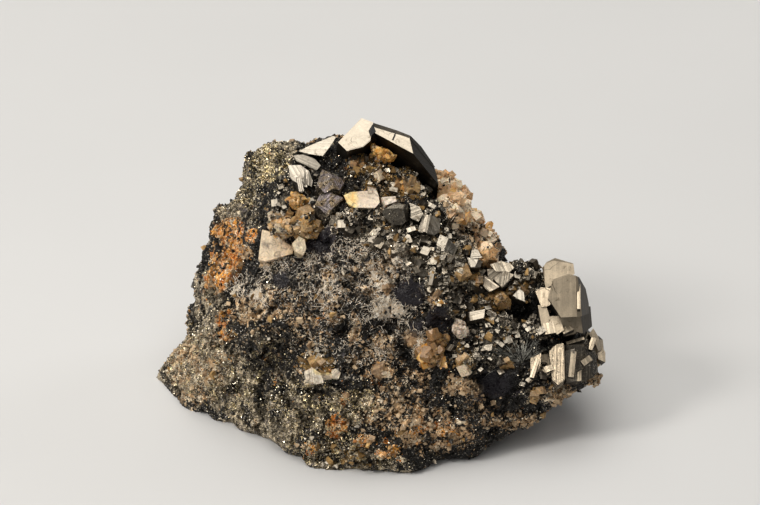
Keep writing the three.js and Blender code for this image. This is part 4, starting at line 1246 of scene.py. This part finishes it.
def platelets(name, ground, outlines, look, warm):
    """Bright little faces, each a thin block turned to the light."""
    random = np.random.default_rng(73)
    points, triangles = shapes("block")[2]
    points = points / np.ptp(points, axis=0)
    solids, across = [], []
    for spot, rise, long, wide, turn in outlines:
        seat = ground.under(spot, rise)
        if seat is None:
            continue
        out = unit(BRIGHT + 0.12 * random.normal(size=3))
        side = unit(np.cross(RISE, out))
        up = np.cross(out, side)
        c, s = math.cos(math.radians(turn)), math.sin(math.radians(turn))
        axes = np.array([side * c + up * s, up * c - side * s, out])
        body = (points * (long, wide, PLATELET_THICK)) @ axes
        solids.append((np.array(seat) + body * MM + out * PLATELET_LIFT * MM, triangles))
        across.append((points[:, 0] * long)[triangles].reshape(-1))
    made = joined(name, solids)
    # Painted light, by how each face is turned.
    shine = lustre_of(vectors_of(made.data.polygon_normals))
    note(made.data, "FACE", lustre=shine, lines=0.8, warm=warm, satin=0.4)
    note(made.data, "CORNER", across=np.concatenate(across))
    return dress(made, look)


# ---- light, floor, camera ----


def softbox(name, place_mm, aim_mm, size_mm, radiance, colour):
    light = bpy.data.lights.new(name, "AREA")
    light.shape, light.size, light.size_y = "RECTANGLE", size_mm[0] * MM, size_mm[1] * MM
    light.energy, light.color = radiance * math.pi * light.size * light.size_y, colour
    made = link(name, light)
    made.location = Vector(place_mm) * MM
    made.rotation_euler = (Vector(aim_mm) * MM - made.location).to_track_quat("-Z", "Y").to_euler()


LIGHTS = [  # name, place, the point it looks at, width and height, radiance, colour
    ("overhead_softbox", (-30, 160, 560), (-30, 160, 0), (620, 720), 2.3, (1, 0.965, 0.9)),
    ("key", (-372, -198, 400), (0, 0, 20), (125, 125), 26, (1, 0.955, 0.89)),
    ("front_fill", (-140, -500, 430), (0, 0, 20), (640, 520), 0.75, (1, 0.96, 0.9)),
    ("left_fill", (-520, -120, 240), (0, 0, 20), (300, 300), 1.2, (1, 1, 1)),
    ("right_rim", (460, 240, 260), (0, 0, 20), (220, 320), 2, (1, 1, 1)),
]
CAMERA_PLACE, CAMERA_TILT = (-0.73, -591.5, 371.5), 60  # mm, and degrees up from straight down
LENS, SENSOR = 200, 36  # mm
FLOOR_HALF = 3  # metres
SURROUNDINGS = 0.05  # grey of everything that isn't a lamp


def studio():
    for light in LIGHTS:
        softbox(*light)
    world = bpy.data.worlds.new("studio")
    world.use_nodes = True
    world.node_tree.nodes["Background"].inputs["Color"].default_value = (*[SURROUNDINGS] * 3, 1)
    bpy.context.scene.world = world
    corners = [(x * FLOOR_HALF, y * FLOOR_HALF, 0) for x, y in ((-1, -1), (1, -1), (1, 1), (-1, 1))]
    floor = new_object("floor", corners, [[0, 1, 2, 3]])
    k = Look("floor_paper")
    shade = k.range(k.noise(60, 3), 0.66, 0.7)
    paper = k.scaled(k.mix(0.5, (1, 1, 1), (0.94, 0.95, 0.97)), shade)
    floor.data.materials.append(k.finish(Base_Color=paper, Roughness=0.8))
    lens = bpy.data.cameras.new("camera")
    lens.lens, lens.sensor_width, lens.clip_end = LENS, SENSOR, 10
    camera = link("camera", lens)
    camera.location = [c * MM for c in CAMERA_PLACE]
    camera.rotation_euler = (math.radians(CAMERA_TILT), 0, 0)
    bpy.context.scene.camera = camera
    bpy.context.scene.view_settings.view_transform = "Standard"


studio()
CRYSTALS = [name for name in frame["nodes"] if name != "matrix"]
tree = tree_of(CRYSTALS)
skin, share = ore_mesh(tree)
ore = stand_in("matrix", "broken_ore", skin, ore_look())
LOOKS = {
    "tennantite": tennantite_look("tennantite"),
    "tarnish": tennantite_look("violet_tarnish", VIOLET, (0.42, 0.3, 0.17)),
    "carbonate": gangue_look("carbonate", TAN, PEACH),
    "honey": gangue_look("honey", (0.12, 0.062, 0.02), (0.62, 0.4, 0.18), clear=0.2, rough=0.3),
    "pale_gangue": gangue_look("pale_gangue", (0.52, 0.39, 0.28), (0.88, 0.76, 0.63),
                               ((0.78, 0.47, 0.12), (0.9, 0.7, 0.3)), rough=0.3),
}
slots = {s["node"]: s["material_slot"] for s in frame["record"]["subparts"]}
pieces = {}
for name in CRYSTALS:
    grown = slots[name] in ("carbonate", "honey") and name != "carbonate_plate" or name == "beige_quartz"
    make = gangue_piece if grown else crystal_piece
    pieces[name] = make(name, LOOKS[slots[name]], slots[name])

ground = Ground([ore], share, tree)
p = to_face(ground.place)
patchy, net = smooth(-0.3, 0.3, noise(p, 2.5, 77, 2)), web(p, 3.4, 81, 0.12)
fan_free = smooth(0.7, 1.1, away(p, FAN[0], FAN[1] + 0.6, 2.6, 2.6 / 1.2))
share["druse"] = share["druse"] * fan_free
ridge = smooth(8, 9, p[:, 0]) * smooth(24, 27, p[:, 1]) * ground.front
sparkle = (share["grey"] + share["brass"] + 1.4 * share["druse"] + share["honeyed"] + 0.25) * (0.3 + patchy)
metal = LOOKS["tennantite"]
spark = grain_look("sparks", (0.03, 0.025, 0.02), (0.97, 0.87, 0.69), 0.95, 0.2)
charcoal = grain_look("charcoal_grains", (0.006, 0.006, 0.006), (0.034, 0.031, 0.028), 0.5, 0.3)
# Name, shape, where it grows, how many, sizes in mm, seed, share turned to the light, slot, and the
# look, or the dark and pale colours, metal and roughness of a look of its own.
GRAINS = [
    ("druse_crystals", "tetra", share["druse"] ** 2, 320, (0.9, 2.3), 200, 0.52, "tennantite", metal),
    ("druse_blocks", "block", share["druse"] ** 2, 850, (0.6, 1.7), 210, 0.55, "tennantite", metal),
    ("small_druse", "tetra", share["druse"] ** 2 + 0.7 * share["honeyed"] + 0.02 * fan_free, 6500,
     (0.3, 0.95), 220, 0.45, "tennantite", metal),
    ("sparks", "spark", sparkle, 20000, (0.15, 0.5), 230, 0.28, "ore", spark),
    ("charcoal_grains", "lump", (0.25 + share["white"] + share["violet"]) * (1 - share["grey"]), 2600,
     (0.3, 1.1), 240, 0, "ore", charcoal),
    ("carbonate_grains", "rhomb", share["carbonate"] ** 2 * (0.1 + patchy + net) + 0.01, 3000, (0.2, 0.8),
     250, 0, "carbonate", ((0.11, 0.055, 0.022), (0.8, 0.6, 0.38), 0, 0.5)),
    ("carbonate_blocks", "block", ridge * smooth(0.7, 1, share["carbonate"]), 300, (0.5, 1.7), 295, 0.35,
     "carbonate", LOOKS["carbonate"]),
    ("honey_lumps", "lump", share["honeyed"] + 0.45 * share["druse"] ** 2 + 0.06 * share["carbonate"], 900,
     (0.5, 1.8), 260, 0, "honey", ((0.08, 0.045, 0.017), (0.55, 0.34, 0.13), 0, 0.25)),
    ("rust_grains", "lump", share["rust"] ** 2, 1200, (0.2, 0.9), 270, 0, "honey",
     ((0.4, 0.12, 0.02), (0.88, 0.56, 0.24), 0, 0.6)),
    ("brass_grains", "spark", share["brass"] ** 2 * (0.2 + patchy) + 0.01, 4200, (0.15, 0.5), 280, 0.2,
     "ore", ((0.1, 0.07, 0.03), (0.98, 0.84, 0.55), 0.95, 0.22)),
    ("pale_grains", "spark", (share["white"] + 0.3 * share["carbonate"]) * net + 0.01, 3000, (0.12, 0.34),
     290, 0, "pale_gangue", ((0.5, 0.42, 0.32), (0.95, 0.89, 0.78), 0, 0.4)),
]
for name, kind, weight, count, size_mm, seed, faced, slot, look in GRAINS:
    look = grain_look(name, *look) if isinstance(look, tuple) else look
    strew(name, kind, ground, weight, count, size_mm, seed, faced, look, slot)

tan = gangue_look("tan_carbonate", (0.13, 0.075, 0.035), (0.5, 0.33, 0.18), rough=0.5)
brown = gangue_look("brown_carbonate", (0.09, 0.045, 0.017), (0.4, 0.23, 0.1), rough=0.3)
# Small knots of crystals on the ore: name, look, slot, sizes, sink, places (across, rise, half-width).
NODULES = [
    ("tan_nodules", tan, "carbonate", (0.5, 1.3), 0.55,
     [(-6.4, 2.7, 0.6), (-0.9, 7.1, 1.1), (0.4, 20.2, 0.9), (-2.3, -4.4, 0.6), (22.8, 20.7, 1.1),
      (8.2, 18.5, 0.8), (35.4, 7.4, 0.8), (4.3, 11.8, 0.7)]),
    ("honey_nodules", LOOKS["honey"], "honey", (0.7, 1.8), 0.4,
     [(12.7, 22.9, 1.1), (15.2, 21.2, 1), (12.3, 8.2, 1), (19.5, 8.1, 0.8), (24.4, 3.2, 1),
      (-10.6, 8.1, 0.9), (-14.6, 33.6, 0.8), (4, 36.6, 1.1), (7.2, 36.8, 1)]),
    ("brown_nodules", brown, "honey", (0.6, 1.5), 0.45,
     [(-4.1, 40.4, 1.2), (-0.2, 38.4, 1), (2.4, 36.9, 0.9)]),
]
KNOT = 12  # crystals in each
for name, look, slot, size_mm, sink, spots in NODULES:
    strew(name, "block", ground, within(ground, spots), KNOT * len(spots), size_mm, 360, 0.2, look, slot,
          sink=sink, power=1.2, cream=0.06, amber=0.15)

CLUSTERS = [  # name, look, seed, share of its blocks that is cream, and amber
    ("honey_carbonates", LOOKS["honey"], 320, 0.15, 0.2),
    ("ridge_carbonates", LOOKS["carbonate"], 340, 0.5, 0.04),
    ("amber_crystals", brown, 350, 0, 0.3),
]
BLOCKS_PER_MM2 = 0.5
blocks = {}
for name, look, seed, cream, amber in CLUSTERS:
    seat = Ground([pieces[name]])
    count = int(BLOCKS_PER_MM2 * seat.area.sum() / MM**2)
    blocks[name] = strew(name + "_blocks", "block", seat, np.ones(len(seat.place)), count, (0.6, 2.1), seed,
                         0.3, look, slots[name], sink=0.45, power=1.3, cream=cream, amber=amber)

# Dark crystals on the honey lumps at the left: across, rise and half-width of their places.
LEDGE = [(-17.4, 32.3, 1.6), (-14.3, 30.8, 0.9), (-12, 31.8, 0.8), (-17.2, 29.3, 0.6)]
seat = Ground([pieces["honey_carbonates"], blocks["honey_carbonates"]])
strew("ledge_druse", "tetra", seat, within(seat, LEDGE) + 0.02, 240, (0.4, 1.2), 365, 0.35, metal,
      "tennantite", power=1.4)

DUSTY = ["tarnished_crystals", "dark_rhomb_crystal", "honey_carbonates", "amber_crystals",
         "ridge_carbonates", "crown_carbonates", "peach_crystal", "honey_crystal", "orange_crystal"]
crust = Ground([pieces[name] for name in DUSTY])
dusty = smooth(0, 0.4, noise(to_face(crust.place), 1.6, 91, 3)) + 0.08
strew("crust_sparks", "spark", crust, dusty, 2000, (0.12, 0.34), 300, 0.3, spark, "ore")
strew("crust_grains", "lump", crust, dusty, 500, (0.15, 0.6), 310, 0, charcoal, "ore", sink=0.4)

crown_shade_and_cracks(grain_look("crown_shade_and_cracks", (0.012, 0.011, 0.01), (0.02, 0.02, 0.02), 0.3, 0.25))
mats = smooth(-0.1, 0.35, noise(p, 4.5, 78, 3))
white_threads(ground, share["white"] ** 1.6 * (0.012 + mats * net * patchy) * ground.front)
needle_fan(ground)
platelets("platelets", ground, PLATELETS, metal, 0.2)
platelets("blades", Ground([ore, *pieces.values()]), BLADES, metal, 0.8)
